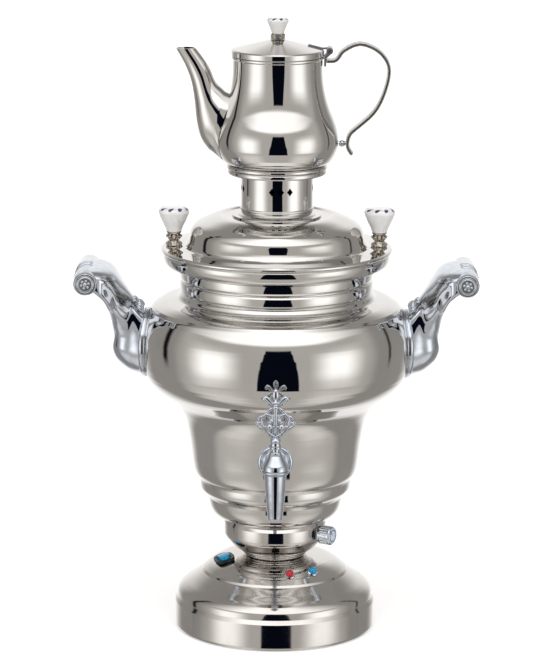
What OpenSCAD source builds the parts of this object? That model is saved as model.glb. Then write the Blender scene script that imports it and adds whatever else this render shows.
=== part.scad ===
// Electric samovar: a footed urn with a lift-off lid, a vented steam crown
// and a lift-off teapot. Z is up and the table is z = 0; the tap faces -Y
// and the teapot's spout points to -X.

/* [Sheet metal] */
// Thickness of the pressed steel walls
sheet = 1.2; // [0.8:0.1:1.8]
// Play between parts that lift off or turn by hand
play = 0.4; // [0.3:0.05:0.6]
// Running clearance round pins and spindles
run_gap = 0.06; // [0.03:0.01:0.09]

/* [Base] */
// Radius of the base over its skirt
base_r = 82.5; // [76:0.5:96]
// Height of the skirt's shoulder groove over the table
skirt_h = 26; // [22:0.5:30]
// Height of the dome's flat top over the table
base_h = 60; // [56:0.5:68]
// Radius of the pressed step on the dome
step_r = 59; // [57.5:0.5:61]
// Height of the rubber foot ring
foot_h = 5; // [4:0.5:7]
// Width of the rubber foot ring
foot_w = 8; // [6:0.5:10]
// Gap between the skirt's edge and the table
skirt_lift = 1; // [0.5:0.25:2]
// Number of screws that hold the bottom plate
plate_screw_count = 4; // [3:1:6]

/* [Stem and drum] */
// Radius of the stem's foot
stem_r = 23; // [20:0.5:26]
// Radius of the stem's head
stem_head_r = 31; // [29:0.5:33]
// Height of the stem
stem_h = 8; // [7:0.5:12]
// Number of turned ribs on the stem
stem_ribs = 4; // [3:1:5]
// Radius of the thermostat drum
drum_r = 42; // [40:0.5:44]
// Height of the thermostat drum
drum_h = 24.8; // [23:0.2:30]

/* [Tank] */
// Radius of the lower cup
cup_r = 55; // [53:0.5:57]
// Height of the lower cup
cup_h = 19; // [17:0.5:22]
// Radius of the band over the cup
band_r = 62.2; // [60.5:0.1:64]
// Height of the band over the cup
band_h = 16; // [14:0.5:19]
// Radius of the funnel above the band
funnel_r = 68.5; // [66.5:0.5:71]
// Height of the funnel
funnel_h = 63; // [58:0.5:70]
// Largest radius of the belly
belly_r = 110.3; // [106:0.1:114]
// Height of the belly
belly_h = 92; // [86:0.5:98]
// Radius of the neck
neck_r = 78; // [76:0.5:80]
// Height of the neck
neck_h = 21; // [19:0.5:24]
// Radius of the rim
rim_r = 92.2; // [90:0.1:95]
// Height of the rim band
rim_h = 12; // [10:0.5:14]

/* [Tap] */
// Height of the tap's tube over the foot of the tank
tap_rise = 63.5; // [60:0.5:68]
// Distance from the belly's widest circle out to the tap's axis
tap_out = 11.7; // [10:0.1:18]
// Radius of the wall rosette
rosette_r = 14.2; // [12:0.2:16]
// Radius of the barrel at its collar
barrel_r = 10.8; // [10:0.1:12]
// Radius of the spout's mouth
mouth_r = 6; // [5.5:0.1:6.6]
// Length of the spout below the collar
spout_len = 39; // [36:0.5:42]
// Radius of the turning plug
plug_r = 5.2; // [4.8:0.1:5.6]
// Radius of the water way through plug and spout
way_r = 3.4; // [3:0.1:3.8]
// Radius of the tap's tube
tube_r = 7; // [6.6:0.1:7.6]
// Thickness of the pierced key
key_t = 4; // [3:0.5:5]
// Half width of the key's pierced quatrefoil
key_r = 15.4; // [14:0.2:16]

/* [Carrying handles] */
// Reach of the grip's centre from the axis
grip_reach = 154.2; // [150:0.2:160]
// Radius of the grip roll
grip_r = 9.5; // [8.5:0.1:10.5]
// Length of the grip roll
grip_len = 80; // [72:1:88]
// Height of the grip's centre over the belly's widest circle
grip_rise = 58; // [54:0.5:62]
// Width of the handle where it is slimmest
waist_w = 36; // [32:0.5:40]
// Width of the mounting flange
flange_w = 52; // [48:0.5:56]
// Height of the mounting flange
flange_h = 58; // [54:0.5:62]

/* [Lid] */
// Radius of the lid over its brim
brim_r = 94.2; // [93:0.1:97.5]
// Radius of the dome on the lid
dome_r = 74; // [71:0.5:76]
// Height of the dome over the brim
dome_h = 27; // [24:0.5:30]
// Radius of the steam opening in the lid
steam_r = 26; // [24:0.5:27.5]
// Distance from the foot of the lid's dome out to the knobs
knob_out = 9.6; // [8:0.2:11]
// Largest radius of the porcelain knobs
knob_r = 12.7; // [11.5:0.1:13.5]
// Height of the porcelain knobs
knob_h = 20.5; // [18:0.5:22]
// Height of the knob posts
post_h = 11.5; // [10:0.5:14]

/* [Steam crown] */
// Outer radius of the crown's tube
crown_r = 29.2; // [28.8:0.1:31]
// Height of the crown from the lid to its plate
crown_h = 34.5; // [31:0.5:38]
// Radius of the crown's top ring
ring_r = 40.2; // [39:0.1:42]
// Width of one diamond vent
vent_w = 5; // [4:0.2:5.6]
// Height of one diamond vent
vent_h = 6.6; // [5.6:0.2:7.6]

/* [Teapot] */
// Radius of the teapot's foot
pot_foot_r = 41; // [40:0.5:43]
// Largest radius of the teapot's belly
pot_r = 49.8; // [47:0.2:53]
// Radius of the teapot's neck
pot_neck_r = 36.3; // [35:0.1:38]
// Height of the teapot up to its rim
pot_h = 91; // [86:0.5:98]
// Thickness of the teapot's wall
pot_wall = 1; // [0.8:0.1:1.4]
// Reach of the spout's tip from the axis
pot_reach = 74; // [72:0.5:80]
// Reach of the teapot's handle from the axis
pot_grip = 89.6; // [86:0.2:96]
// Width of the teapot's handle strip
strip_w = 11; // [9:0.5:14]
// Thickness of the teapot's handle strip
strip_t = 3; // [2.6:0.1:3.4]
// Rise of the teapot lid's cone
cone_h = 8; // [6:0.5:11]
// Radius of the hinge barrel
hinge_r = 2.7; // [2.5:0.1:3]

/* [Hidden] */
$fn = 96;

// Gap that seats one piece on the next inside a body
fit = 0.05;
// Radii of the tie rod, the plate screws, the handle screws and the knob studs
tie_r = 4;
plate_screw_r = 1.6;
handle_screw_r = 2.5;
stud_r = 2;
// Wire holes through the drum's floor and the top of the dome
wire_hole_r = 3;
wire_pitch = 13;
// Gap that seats a lift-off piece on what carries it
seat = 0.1;

// Heights of the stack over the table
drum_z = base_h + stem_h;
tank_z = drum_z + drum_h;
cup_z = tank_z + cup_h;
band_z = cup_z + band_h;
belly_z = band_z + funnel_h;
wide_z = belly_z + belly_h / 2;
neck_z = belly_z + belly_h;
rim_z = neck_z + neck_h;
lid_z = rim_z + rim_h + seat;
brim_t = 3.6;
knob_pitch = dome_r + knob_out;
dome_z = lid_z + brim_t + dome_h;
ledge_drop = 1.2;
crown_z = dome_z - ledge_drop + seat;
plate_z = crown_z + crown_h;
ring_t = 4.4;
pot_z = plate_z + ring_t + seat;
pot_rim_z = pot_z + pot_h;
cap_z = pot_rim_z + seat;

// Colours of the finishes
steel = "silver";
plate = "gainsboro";
dark = "#303236";
porcelain = "ghostwhite";
brassy = "#b5a36a";
rubber = "#242424";

// --- Curves -----------------------------------------------------------

function unit(v) = v / norm(v);
function reversed(p) = [for (i = [len(p) - 1:-1:0]) p[i]];

// Smooth curve through the points p, with n steps between each two
function blend4(a, b, c, d, t) =
    0.5 * (2 * b + (c - a) * t + (2 * a - 5 * b + 4 * c - d) * t * t
           + (3 * b - a - 3 * c + d) * t * t * t);
function smooth(p, n) = [
    for (i = [0:len(p) - 2], k = [0:n - 1])
        blend4(p[max(i - 1, 0)], p[i], p[i + 1], p[min(i + 2, len(p) - 1)], k / n),
    p[len(p) - 1]
];

// Arc about the point c, from the angle a0 to a1
function arc(c, r, a0, a1, n) = [
    for (i = [0:n]) let (a = a0 + (a1 - a0) * i / n) c + r * [cos(a), sin(a)]
];

// The line p moved by t to its left
function shifted(p, t) = [
    for (i = [0:len(p) - 1])
        let (d = unit(p[min(i + 1, len(p) - 1)] - p[max(i - 1, 0)]))
            p[i] + t * [-d[1], d[0]]
];

// Radius of an outline, listed from its foot up, at the height z
function radius_at(p, z) = lookup(z, [for (q = p) [q[1], q[0]]]);

// Height of an outline, listed from its rim inwards, at the radius r, and its slope there
function height_at(p, r) = lookup(r, [for (q = reversed(p)) [q[0], q[1]]]);
function tilt_at(p, r) = atan2(height_at(p, r - 1) - height_at(p, r + 1), 2);

// --- Building blocks --------------------------------------------------

// Pressed or spun sheet: the outline p turned about Z, t thick to its left
module spun(p, t) {
    rotate_extrude() polygon(concat(p, reversed(shifted(p, t))));
}

// Flat ring standing on the height z
module ring(r_out, r_in, z, h) {
    rotate_extrude() translate([r_in, z]) square([r_out - r_in, h]);
}

// Children turned so that their +Z points along the heading a and their origin is at radius r, height z
module outward(a, r, z, tilt = 90) {
    rotate([0, 0, a - 90]) translate([r, 0, z]) rotate([0, tilt, 0]) children();
}

// Hexagonal nut with a bore, standing on its origin
module hex_nut(flats, bore_r, h) {
    difference() {
        cylinder(r = flats / 2 / cos(30), h = h, $fn = 6);
        translate([0, 0, -1]) cylinder(r = bore_r, h = h + 2, $fn = 48);
    }
}

// --- Outlines ---------------------------------------------------------

// Base: skirt with a rolled shoulder, groove, dome with a pressed step
skirt_line = smooth([
    [base_r - 1.4, skirt_lift], [base_r, skirt_lift + 2], [base_r, skirt_h - 11.5],
    [base_r + 0.7, skirt_h - 8.5], [base_r + 0.4, skirt_h - 4.5], [base_r - 1.9, skirt_h]
], 2);
apron_line = smooth([
    [base_r - 1.9, skirt_h + 0.9], [base_r - 2.6, skirt_h + 5], [base_r - 4.6, skirt_h + 8.2],
    [base_r - 8.5, skirt_h + 11.6], [base_r - 14.4, skirt_h + 15.6], [step_r + 1.2, base_h - 12.6]
], 3);
dome_line = smooth([
    [step_r, base_h - 10.9], [step_r - 6.6, base_h - 5.6], [step_r - 13, base_h - 2.2],
    [step_r - 20, base_h - 0.6], [step_r - 27, base_h]
], 3);
base_line = concat(skirt_line, apron_line, dome_line, [[tie_r + 0.4, base_h]]);
dome_only = concat(apron_line, dome_line);

// Drum: flared foot, straight wall, shoulder that carries the tank
drum_line = concat(
    smooth([[stem_head_r + 2.5, drum_z], [drum_r - 4, drum_z + 5], [drum_r - 1, drum_z + 8.5],
            [drum_r, drum_z + 11.5]], 3),
    [[drum_r, tank_z - 4.4], [drum_r - 1.9, tank_z - fit]]
);

// Tank: lower cup, band, funnel, belly, neck ribs and flared rim
cup_line = smooth([
    [drum_r + 0.8, tank_z], [drum_r + 7, tank_z + 3], [cup_r - 2.6, tank_z + 7],
    [cup_r - 0.8, tank_z + 12], [cup_r, cup_z - 1]
], 3);
band_line = smooth([
    [cup_r + 1.6, cup_z + 1.4], [band_r - 1.8, cup_z + 5], [band_r - 0.3, cup_z + 8], [band_r, band_z - 2]
], 3);
funnel_line = smooth([
    [band_r + 1.2, band_z + 0.6], [funnel_r - 2.4, band_z + 4.4], [funnel_r - 0.6, band_z + 12],
    [funnel_r + 1.4, band_z + 28], [funnel_r + 4.6, band_z + 46], [funnel_r + 7.8, belly_z - 8],
    [funnel_r + 13, belly_z], [belly_r - 20, belly_z + 7.2], [belly_r - 10, belly_z + 14.8],
    [belly_r - 2.6, belly_z + 26.4], [belly_r, wide_z], [belly_r - 1.6, wide_z + 16],
    [belly_r - 7.6, neck_z - 14.2], [belly_r - 15.6, neck_z - 8.2], [neck_r + 10.4, neck_z - 6.2],
    [neck_r + 3.4, neck_z - 4.8], [neck_r + 0.8, neck_z - 1.4]
], 3);
rib_h = neck_h / 2;
neck_line = [
    for (k = [0, 1]) each smooth([
        [neck_r - 0.6, neck_z + k * rib_h + 0.2], [neck_r + 0.7, neck_z + k * rib_h + 2.4],
        [neck_r + 0.7, neck_z + (k + 1) * rib_h - 2.2], [neck_r - 0.5, neck_z + (k + 1) * rib_h - 0.4]
    ], 2)
];
rim_line = smooth([
    [neck_r + 3, rim_z + 0.3], [rim_r - 4.6, rim_z + 1], [rim_r - 1.2, rim_z + 3.4],
    [rim_r, rim_z + 7], [rim_r, rim_z + rim_h - 1.6], [rim_r - 0.8, rim_z + rim_h]
], 3);
tank_line = concat(cup_line, band_line, funnel_line, neck_line, rim_line);

// Lid: rolled brim, ledge, dome wall, crest and sunk seat of the crown
lid_line = concat(
    [[brim_r - 1.2, lid_z], [brim_r, lid_z + 1.2], [brim_r, lid_z + 2.4], [brim_r - 1.4, lid_z + brim_t]],
    smooth([
        [dome_r + 3.6, lid_z + brim_t + 0.5], [dome_r, lid_z + brim_t + 1.6],
        [dome_r - 2.2, lid_z + brim_t + 6.6], [dome_r - 4.2, dome_z - 12.6], [dome_r - 8.4, dome_z - 7.6],
        [dome_r - 15.6, dome_z - 3.8], [dome_r - 22.5, dome_z - 1], [dome_r - 28, dome_z],
        [dome_r - 31.4, dome_z - ledge_drop]
    ], 3),
    [[steam_r, dome_z - ledge_drop]]
);

// Teapot: belly and straight neck with a beaded rim
pot_line = concat(
    smooth([
        [pot_foot_r - 2.4, pot_z + 3.4], [pot_foot_r + 0.6, pot_z + 4.6], [pot_foot_r + 3.4, pot_z + 7],
        [pot_r - 2.4, pot_z + 12.5], [pot_r - 0.5, pot_z + 18.4], [pot_r, pot_z + 24],
        [pot_r - 0.6, pot_z + 30],
        [pot_r - 4.2, pot_z + 42.2], [pot_neck_r + 3.7, pot_z + 52.8], [pot_neck_r + 0.7, pot_z + 62],
        [pot_neck_r, pot_z + 68]
    ], 3),
    [[pot_neck_r, pot_rim_z - 2.4], [pot_neck_r + 0.9, pot_rim_z - 1.6], [pot_neck_r + 0.9, pot_rim_z]]
);

// --- Base ---------------------------------------------------------------

foot_out = base_r - 1.4 - sheet - play;
plate_top = foot_h + sheet;
lip_top = plate_top + fit + sheet;
lip_in = foot_out - foot_w - 8;
plate_screw_pitch = foot_out - foot_w - 4;

module foot_ring() {
    color(rubber) ring(foot_out, foot_out - foot_w, 0, foot_h - fit);
}

// Bottom plate with a ring of vent slots
module base_plate() {
    color(plate) difference() {
        translate([0, 0, foot_h]) cylinder(r = base_r - sheet - fit, h = sheet);
        translate([0, 0, foot_h - 1]) cylinder(r = tie_r + play, h = sheet + 2);
        at_plate_screws() translate([0, 0, -sheet])
            cylinder(r = plate_screw_r + fit, h = 3 * sheet, $fn = 48);
        for (a = [15:30:345]) rotate([0, 0, a])
            translate([lip_in - 22, -1.5, foot_h - 1]) cube([14, 3, sheet + 2]);
    }
}

module at_plate_screws() {
    for (k = [0:plate_screw_count - 1]) rotate([0, 0, 45 + k * 360 / plate_screw_count])
        translate([plate_screw_pitch, 0, foot_h]) children();
}

module plate_screws() {
    color(plate) at_plate_screws() {
        translate([0, 0, -fit]) mirror([0, 0, 1]) difference() {
            cylinder(r = 2.9, h = 1.8, $fn = 48);
            translate([-3, -0.4, 1]) cube([6, 0.8, 1]);
        }
        translate([0, 0, -fit - 0.01]) cylinder(r = plate_screw_r, h = 2 * sheet + 3, $fn = 48);
    }
}

// Where the lamps and the switch stand on the dome: heading and radius
lamp_radius = step_r - 8.5;
lamp_headings = [14, 37.7];
lamp_r = 3.2;
switch_radius = step_r - 15;
switch_heading = -70.7;
switch_len = 15;
switch_w = 9.6;
switch_t = 5;
bezel_edge = 1.9;
bezel_t = 2.2;
// Half of the housing's oversize is its wall, the other half the rocker's play
housing_t = 1.2;
switch_depth = 15;

module on_dome(a, r) {
    outward(a, r, height_at(dome_line, r), tilt_at(dome_line, r)) children();
}

// Oval with straight sides, length l along Y and width w along X
module oval(l, w) {
    square([w, l - w], center = true);
    for (s = [-1, 1]) translate([0, s * (l - w) / 2]) circle(r = w / 2, $fn = 48);
}

module base_shell() {
    color(steel) difference() {
        union() {
            spun(base_line, sheet);
            ring(base_r - sheet / 2, lip_in, plate_top + fit, sheet);
        }
        at_plate_screws() cylinder(r = plate_screw_r + fit, h = 4 * sheet, $fn = 48);
        for (a = lamp_headings) on_dome(a, lamp_radius)
            translate([0, 0, -8]) cylinder(r = lamp_r - 0.6 + fit, h = 16, $fn = 48);
        on_dome(switch_heading, switch_radius)
            translate([0, 0, -8]) linear_extrude(16)
                oval(switch_len + 2 * housing_t + 2 * fit, switch_w + 2 * housing_t + 2 * fit);
        outward(180, base_r - 6, gland_z) cylinder(r = gland_r + fit, h = 12);
        for (s = [-1, 1]) translate([s * wire_pitch, 0, base_h - 5])
            cylinder(r = wire_hole_r, h = 8, $fn = 48);
    }
}

// Rubber bush in the back of the skirt, where the mains cord enters
gland_r = 4.8;
gland_bore_r = 3.4;
gland_z = lip_top + 7;
gland_flange = 1.4;

module cord_gland() {
    color(rubber) outward(180, base_r, gland_z) difference() {
        union() {
            translate([0, 0, 0.75]) cylinder(r1 = gland_r + 1.6, r2 = gland_r + 0.8, h = 2.2);
            translate([0, 0, -sheet - 2.2]) cylinder(r = gland_r, h = sheet + 4);
            translate([0, 0, -sheet - 2.6]) cylinder(r = gland_r + gland_flange, h = 2);
        }
        translate([0, 0, -8]) cylinder(r = gland_bore_r, h = 16);
    }
}

// Three-pole block that the cord's wires are screwed to
block_size = [26, 13, 11];
module terminal_block() {
    color("ivory") translate([0, 40, plate_top + fit]) difference() {
        translate([-block_size[0] / 2, -block_size[1] / 2, 0]) cube(block_size);
        for (x = [-8, 0, 8]) translate([x, 0, 0]) {
            for (y = [-3.4, 3.4]) translate([0, y, 5]) cylinder(r = 1.8, h = 8, $fn = 32);
            translate([0, 8, 4.5]) rotate([90, 0, 0]) cylinder(r = 1.5, h = 16, $fn = 32);
        }
    }
}

// Domed lens with its shank through the dome
module lamp(a) {
    on_dome(a, lamp_radius) {
        translate([0, 0, -7]) cylinder(r = lamp_r - 0.6, h = 7.5, $fn = 48);
        rotate_extrude($fn = 48) translate([0, 0.4])
            polygon(concat([[0, 0], [lamp_r, 0]], arc([0, 0.9], lamp_r, 0, 90, 6) ));
    }
}

module lamp_red() { color("crimson") lamp(lamp_headings[0]); }
module lamp_blue() { color("dodgerblue") lamp(lamp_headings[1]); }

module lamp_bezels() {
    color(plate) for (a = lamp_headings) on_dome(a, lamp_radius)
        rotate_extrude($fn = 48) translate([lamp_r + fit, 0.05])
            polygon([[0, 0], [1.4, 0], [1.4, 0.5], [0.9, 1.1], [0, 1.1]]);
}

// Oval black surround of the switch, with its closed housing below the dome
module switch_bezel() {
    color(dark) on_dome(switch_heading, switch_radius) difference() {
        union() {
            translate([0, 0, 0.15]) linear_extrude(bezel_t)
                oval(switch_len + 2 * (housing_t + bezel_edge), switch_w + 2 * (housing_t + bezel_edge));
            translate([0, 0, -switch_depth]) linear_extrude(switch_depth + 0.2)
                oval(switch_len + 2 * housing_t, switch_w + 2 * housing_t);
        }
        translate([0, 0, -switch_depth + 3]) linear_extrude(switch_depth + 4)
            oval(switch_len + housing_t, switch_w + housing_t);
        translate([0, 0, switch_pivot]) rotate([0, 90, 0])
            cylinder(r = 0.9 + run_gap, h = switch_w + 2, center = true, $fn = 32);
    }
}

// Rocker at its lower stop, crowned and waisted, on two pivot stubs
switch_pivot = 0.6;
switch_tilt = 8;
module switch_rocker() {
    color("dodgerblue") on_dome(switch_heading, switch_radius) translate([0, 0, switch_pivot]) {
        rotate([switch_tilt, 0, 0]) intersection() {
            translate([0, 0, -1.6]) linear_extrude(switch_t + 2) oval(switch_len, switch_w);
            translate([0, 0, -22]) rotate([0, 90, 0]) cylinder(r = 26.2, h = switch_w + 2, center = true);
        }
        rotate([0, 90, 0]) cylinder(r = 0.9, h = switch_w + 1.6, center = true, $fn = 32);
    }
}

// --- Stem and drum --------------------------------------------------------

// Turned spool with rounded ribs, wider towards its head
rib_step = [(stem_head_r - stem_r) / stem_ribs, (stem_h - 2 * fit) / stem_ribs];
stem_line = [
    for (k = [0:stem_ribs - 1])
        let (foot = [stem_r + k * rib_step[0], base_h + fit + k * rib_step[1]])
            each [
                foot, foot + [rib_step[0] * 0.3 + 1, rib_step[1] * 0.25],
                foot + [rib_step[0] * 0.6 + 1, rib_step[1] * 0.7]
            ],
    [stem_head_r, drum_z - fit]
];

module stem() {
    color(steel) rotate_extrude()
        polygon(concat(stem_line, [[stem_r - 2.4, drum_z - fit], [stem_r - 2.4, base_h + fit]]));
}

knob_heading = 60;
knob_z = drum_z + 14.7;
knob_r2 = 7.7;
knob_len = 10;
bushing_r = 4.5;
spindle_r = 3;

module drum() {
    color(steel) difference() {
        union() {
            spun(drum_line, sheet);
            ring(stem_head_r + 2.5, tie_r + play, drum_z, sheet);
        }
        for (s = [-1, 1]) translate([s * wire_pitch, 0, drum_z - 2])
            cylinder(r = wire_hole_r, h = 6, $fn = 48);
        outward(knob_heading, drum_r - 8, knob_z) cylinder(r = bushing_r + fit, h = 16, $fn = 48);
    }
}

// Rod that clamps base, stem, drum and tank together
seal_t = 1.2;
floor_z = tank_z + sheet + seal_t + 2 * fit;
floor_t = 2;
nut_h = 3.2;
module tie_rod() {
    rod_z = foot_h - nut_h - 0.6;
    color(plate) translate([0, 0, rod_z]) cylinder(r = tie_r, h = floor_z + floor_t + 8 - rod_z, $fn = 48);
}

module tie_nuts() {
    color(plate) {
        translate([0, 0, foot_h - nut_h - fit]) hex_nut(13, tie_r + fit, nut_h);
        translate([0, 0, floor_z + floor_t + fit]) {
            difference() {
                cylinder(r = 9, h = 1.4, $fn = 48);
                translate([0, 0, -1]) cylinder(r = tie_r + fit, h = 4, $fn = 48);
            }
            translate([0, 0, 1.35]) hex_nut(13, tie_r + fit, 5);
        }
    }
}

// Thermostat: switch case behind the drum wall and its threaded bushing
case_size = [12, 22, 15];
case_in = 14;
bushing_in = sqrt(pow(drum_r - sheet, 2) - 36) - fit;
module thermostat() {
    color(dark) outward(knob_heading, 0, knob_z) difference() {
        union() {
            translate([-case_size[0] / 2, -case_size[1] / 2, case_in]) cube(case_size);
            translate([0, 0, case_in]) cylinder(r = 6, h = bushing_in - case_in, $fn = 48);
            translate([0, 0, case_in]) cylinder(r = bushing_r, h = drum_r + 2.2 - case_in, $fn = 48);
        }
        translate([0, 0, 20]) cylinder(r = spindle_r + run_gap, h = drum_r, $fn = 48);
    }
}

module thermostat_nut() {
    color(plate) outward(knob_heading, drum_r + fit, knob_z) hex_nut(12, bushing_r + fit, 1.9);
}

// Spindle that turns in the bushing
module thermostat_spindle() {
    color(plate) outward(knob_heading, 0, knob_z)
        translate([0, 0, 20.2]) cylinder(r = spindle_r, h = drum_r + knob_len - 20.2, $fn = 48);
}

// Fluted knob with a flat face, a raised rim and a pointer line
flutes = 24;
module thermostat_knob() {
    color(plate) outward(knob_heading, drum_r + 2.6, knob_z) difference() {
        rotate_extrude() polygon([
            [spindle_r + fit, 0], [knob_r2, 0], [knob_r2, knob_len - 1], [knob_r2 - 1, knob_len],
            [knob_r2 - 1.8, knob_len], [knob_r2 - 2.2, knob_len - 0.6], [0, knob_len - 0.6],
            [0, knob_len - 2.2], [spindle_r + fit, knob_len - 2.2]
        ]);
        for (k = [0:flutes - 1]) rotate([0, 0, k * 360 / flutes])
            translate([knob_r2 + 0.45, 0, 1]) cylinder(r = 0.8, h = knob_len - 3, $fn = 16);
        translate([-5.4, -0.4, knob_len - 1]) cube([4, 0.8, 2]);
    }
}

// --- Tank -----------------------------------------------------------------

flange_in = drum_r - 8;
tap_z = tank_z + tap_rise;
tap_reach = belly_r + tap_out;
tap_wall_r = radius_at(tank_line, tap_z);
shank_r = 6.4;

// Solid under the tank's outline between two heights, grown by gap
module tank_core(z0, z1, gap) {
    part_line = [for (q = tank_line) if (q[1] > z0 && q[1] < z1) [q[0] + gap, q[1]]];
    rotate_extrude() polygon(concat(
        [[0, z0], [radius_at(tank_line, z0) + gap, z0]], part_line,
        [[radius_at(tank_line, z1) + gap, z1], [0, z1]]
    ));
}

// The two screws of each carrying handle, level with the belly's widest circle
screw_rise = 9;
module at_handle_screws() {
    for (side = [-1, 1], dz = [-screw_rise, screw_rise])
        translate([0, 0, wide_z + dz]) rotate([0, 90 * side, 0]) children();
}

// The tank's spun wall between two heights: its five shells are welded edge to edge
module tank_shell(z0, z1) {
    color(steel) intersection() {
        difference() {
            union() {
                spun(tank_line, sheet);
                ring(drum_r + 1.6, flange_in, tank_z, sheet);
            }
            outward(0, tap_wall_r - 8, tap_z) cylinder(r = shank_r + fit, h = 16, $fn = 48);
            at_handle_screws() translate([0, 0, belly_r - 12])
                cylinder(r = handle_screw_r + fit, h = 16, $fn = 48);
        }
        translate([0, 0, z0]) cylinder(r = belly_r + 10, h = z1 - z0);
    }
}

cup_seam = band_z - 1;
neck_seam = neck_z - 0.6;

module tank_cup() { tank_shell(tank_z - 1, cup_seam); }
module tank_funnel() { tank_shell(cup_seam, belly_z); }
module tank_lower() { tank_shell(belly_z, wide_z); }
module tank_upper() { tank_shell(wide_z, neck_seam); }
module tank_neck() { tank_shell(neck_seam, rim_z + rim_h + 1); }

leg_r = 4.2;
coil_r = 26;
leg_spread = 24;
module at_legs() {
    for (s = [-1, 1]) outward(180 + s * leg_spread, coil_r, 0, 0) children();
}

module tank_floor() {
    color(steel) difference() {
        translate([0, 0, floor_z]) cylinder(r = drum_r - 1, h = floor_t);
        translate([0, 0, floor_z - 1]) cylinder(r = tie_r + fit, h = floor_t + 2, $fn = 48);
        at_legs() translate([0, 0, floor_z - 1]) cylinder(r = leg_r + fit, h = floor_t + 2, $fn = 48);
    }
}

module floor_seal() {
    color("firebrick") ring(drum_r - 1.4, drum_r - 7.4, tank_z + sheet + fit, seal_t);
}

// Tubular element: an open ring on two legs through the floor
coil_rise = 13;
module heating_element() {
    coil_z = floor_z + floor_t + coil_rise;
    color(dark) {
        translate([0, 0, coil_z]) rotate([0, 0, 90 + leg_spread])
            rotate_extrude(angle = 360 - 2 * leg_spread) translate([coil_r, 0]) circle(r = leg_r, $fn = 32);
        at_legs() {
            translate([0, 0, coil_z]) sphere(r = leg_r + 0.3, $fn = 32);
            translate([0, 0, tank_z - 9]) cylinder(r = leg_r, h = coil_z - tank_z + 9, $fn = 32);
            translate([0, 0, tank_z - 14]) cylinder(r = 1.6, h = 6, $fn = 32);
        }
    }
}

module element_nuts() {
    color(brassy) at_legs() translate([0, 0, floor_z - fit - 4]) hex_nut(12, leg_r + fit, 4);
}

// Disc that opens the circuit when the tank boils dry
module dry_boil_cutout() {
    color(dark) outward(-75, coil_r - 5, 0, 0) {
        translate([0, 0, floor_z - fit - 7]) cylinder(r = 8, h = 7, $fn = 48);
        for (s = [-1, 1]) translate([-0.4, s * 4 - 1.5, floor_z - fit - 14]) cube([0.8, 3, 7.5]);
    }
}

// --- Tap --------------------------------------------------------------------

collar_z = tap_z + 5.6;
mouth_z = collar_z - spout_len;
plug_z = tap_z - way_r - 5;
plug_top = collar_z + 3;
bonnet_h = 15;
stem_top = collar_z + 24.6;
key_stem_r = 3;

// Children placed on the tap's vertical axis
module on_tap_axis(z) {
    translate([0, -tap_reach, z]) children();
}

module tap_rosette() {
    color(plate) difference() {
        outward(0, tap_wall_r - 4, tap_z) rotate_extrude() polygon(concat(
            [[tube_r + fit, 0]], [[rosette_r, 0], [rosette_r, 5.4]],
            arc([rosette_r - 2.2, 5.4], 2.2, 0, 90, 5),
            [[rosette_r - 4.4, 6.6], [tube_r + 2.2, 7.2], [tube_r + fit, 9.6]]
        ));
        tank_core(tap_z - 2 * rosette_r, tap_z + 2 * rosette_r, fit);
    }
}

// Cast body: shank and tube from the wall, barrel and tapered spout
module tap_body() {
    color(plate) difference() {
        union() {
            outward(0, tap_wall_r - 16, tap_z) cylinder(r = shank_r, h = 17, $fn = 48);
            difference() {
                outward(0, tap_wall_r - 1, tap_z) rotate_extrude() polygon(concat(
                    [[0, 0], [tube_r, 0], [tube_r, 8]],
                    arc([tube_r, 16], 1.4, -90, 90, 6),
                    [[tube_r - 0.6, 20], [tube_r, tap_reach - tap_wall_r]],
                    [[0, tap_reach - tap_wall_r]]
                ));
                tank_core(tap_z - 2 * rosette_r, tap_z + 2 * rosette_r, fit);
            }
            on_tap_axis(0) rotate_extrude() polygon(concat(
                [[0, mouth_z], [mouth_r - 0.8, mouth_z]], arc([mouth_r - 0.8, mouth_z + 0.8], 0.8, -90, 0, 3),
                smooth([[mouth_r + 0.3, mouth_z + 4], [mouth_r + 1.6, mouth_z + 16],
                        [barrel_r - 2.2, collar_z - 9], [barrel_r - 1.9, collar_z - 2]], 2),
                arc([barrel_r - 1.2, collar_z], 1.2, -60, 90, 5), [[0, collar_z + 1.2]]
            ));
        }
        outward(0, tap_wall_r - 18, tap_z) cylinder(r = way_r, h = tap_reach - tap_wall_r + 18, $fn = 48);
        on_tap_axis(plug_z) cylinder(r = plug_r + run_gap, h = 40, $fn = 64);
        on_tap_axis(mouth_z - 1) cylinder(r = way_r, h = plug_z - mouth_z + 2, $fn = 48);
        on_tap_axis(mouth_z - 1) cylinder(r1 = way_r + 1.4, r2 = way_r, h = 12, $fn = 48);
    }
}

module tap_nut() {
    color(brassy) outward(0, tap_wall_r - 16 + 1.5, tap_z) hex_nut(19, shank_r + fit, 9);
}

module tap_seal() {
    color("firebrick") intersection() {
        outward(0, tap_wall_r - 5.4, tap_z) difference() {
            cylinder(r = 10.4, h = 8, $fn = 48);
            translate([0, 0, -1]) cylinder(r = shank_r + fit, h = 10, $fn = 48);
        }
        tank_core(tap_z - 24, tap_z + 24, -sheet - 2 * fit);
    }
}

// Domed screw cap that keeps the plug in the barrel
module tap_bonnet() {
    color(plate) on_tap_axis(collar_z + 1.2 + fit) rotate_extrude() polygon(concat(
        [[plug_r + 2 * run_gap, 0], [barrel_r - 0.4, 0]],
        smooth([[barrel_r - 0.3, 1], [barrel_r - 1, 4.4], [barrel_r - 3.4, 8.6], [key_stem_r + 2.6, 11.6],
                [key_stem_r + 1.5, bonnet_h]], 2),
        [[key_stem_r + run_gap, bonnet_h], [key_stem_r + run_gap, 4.6], [plug_r + 2 * run_gap, 4.6]]
    ));
}

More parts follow.
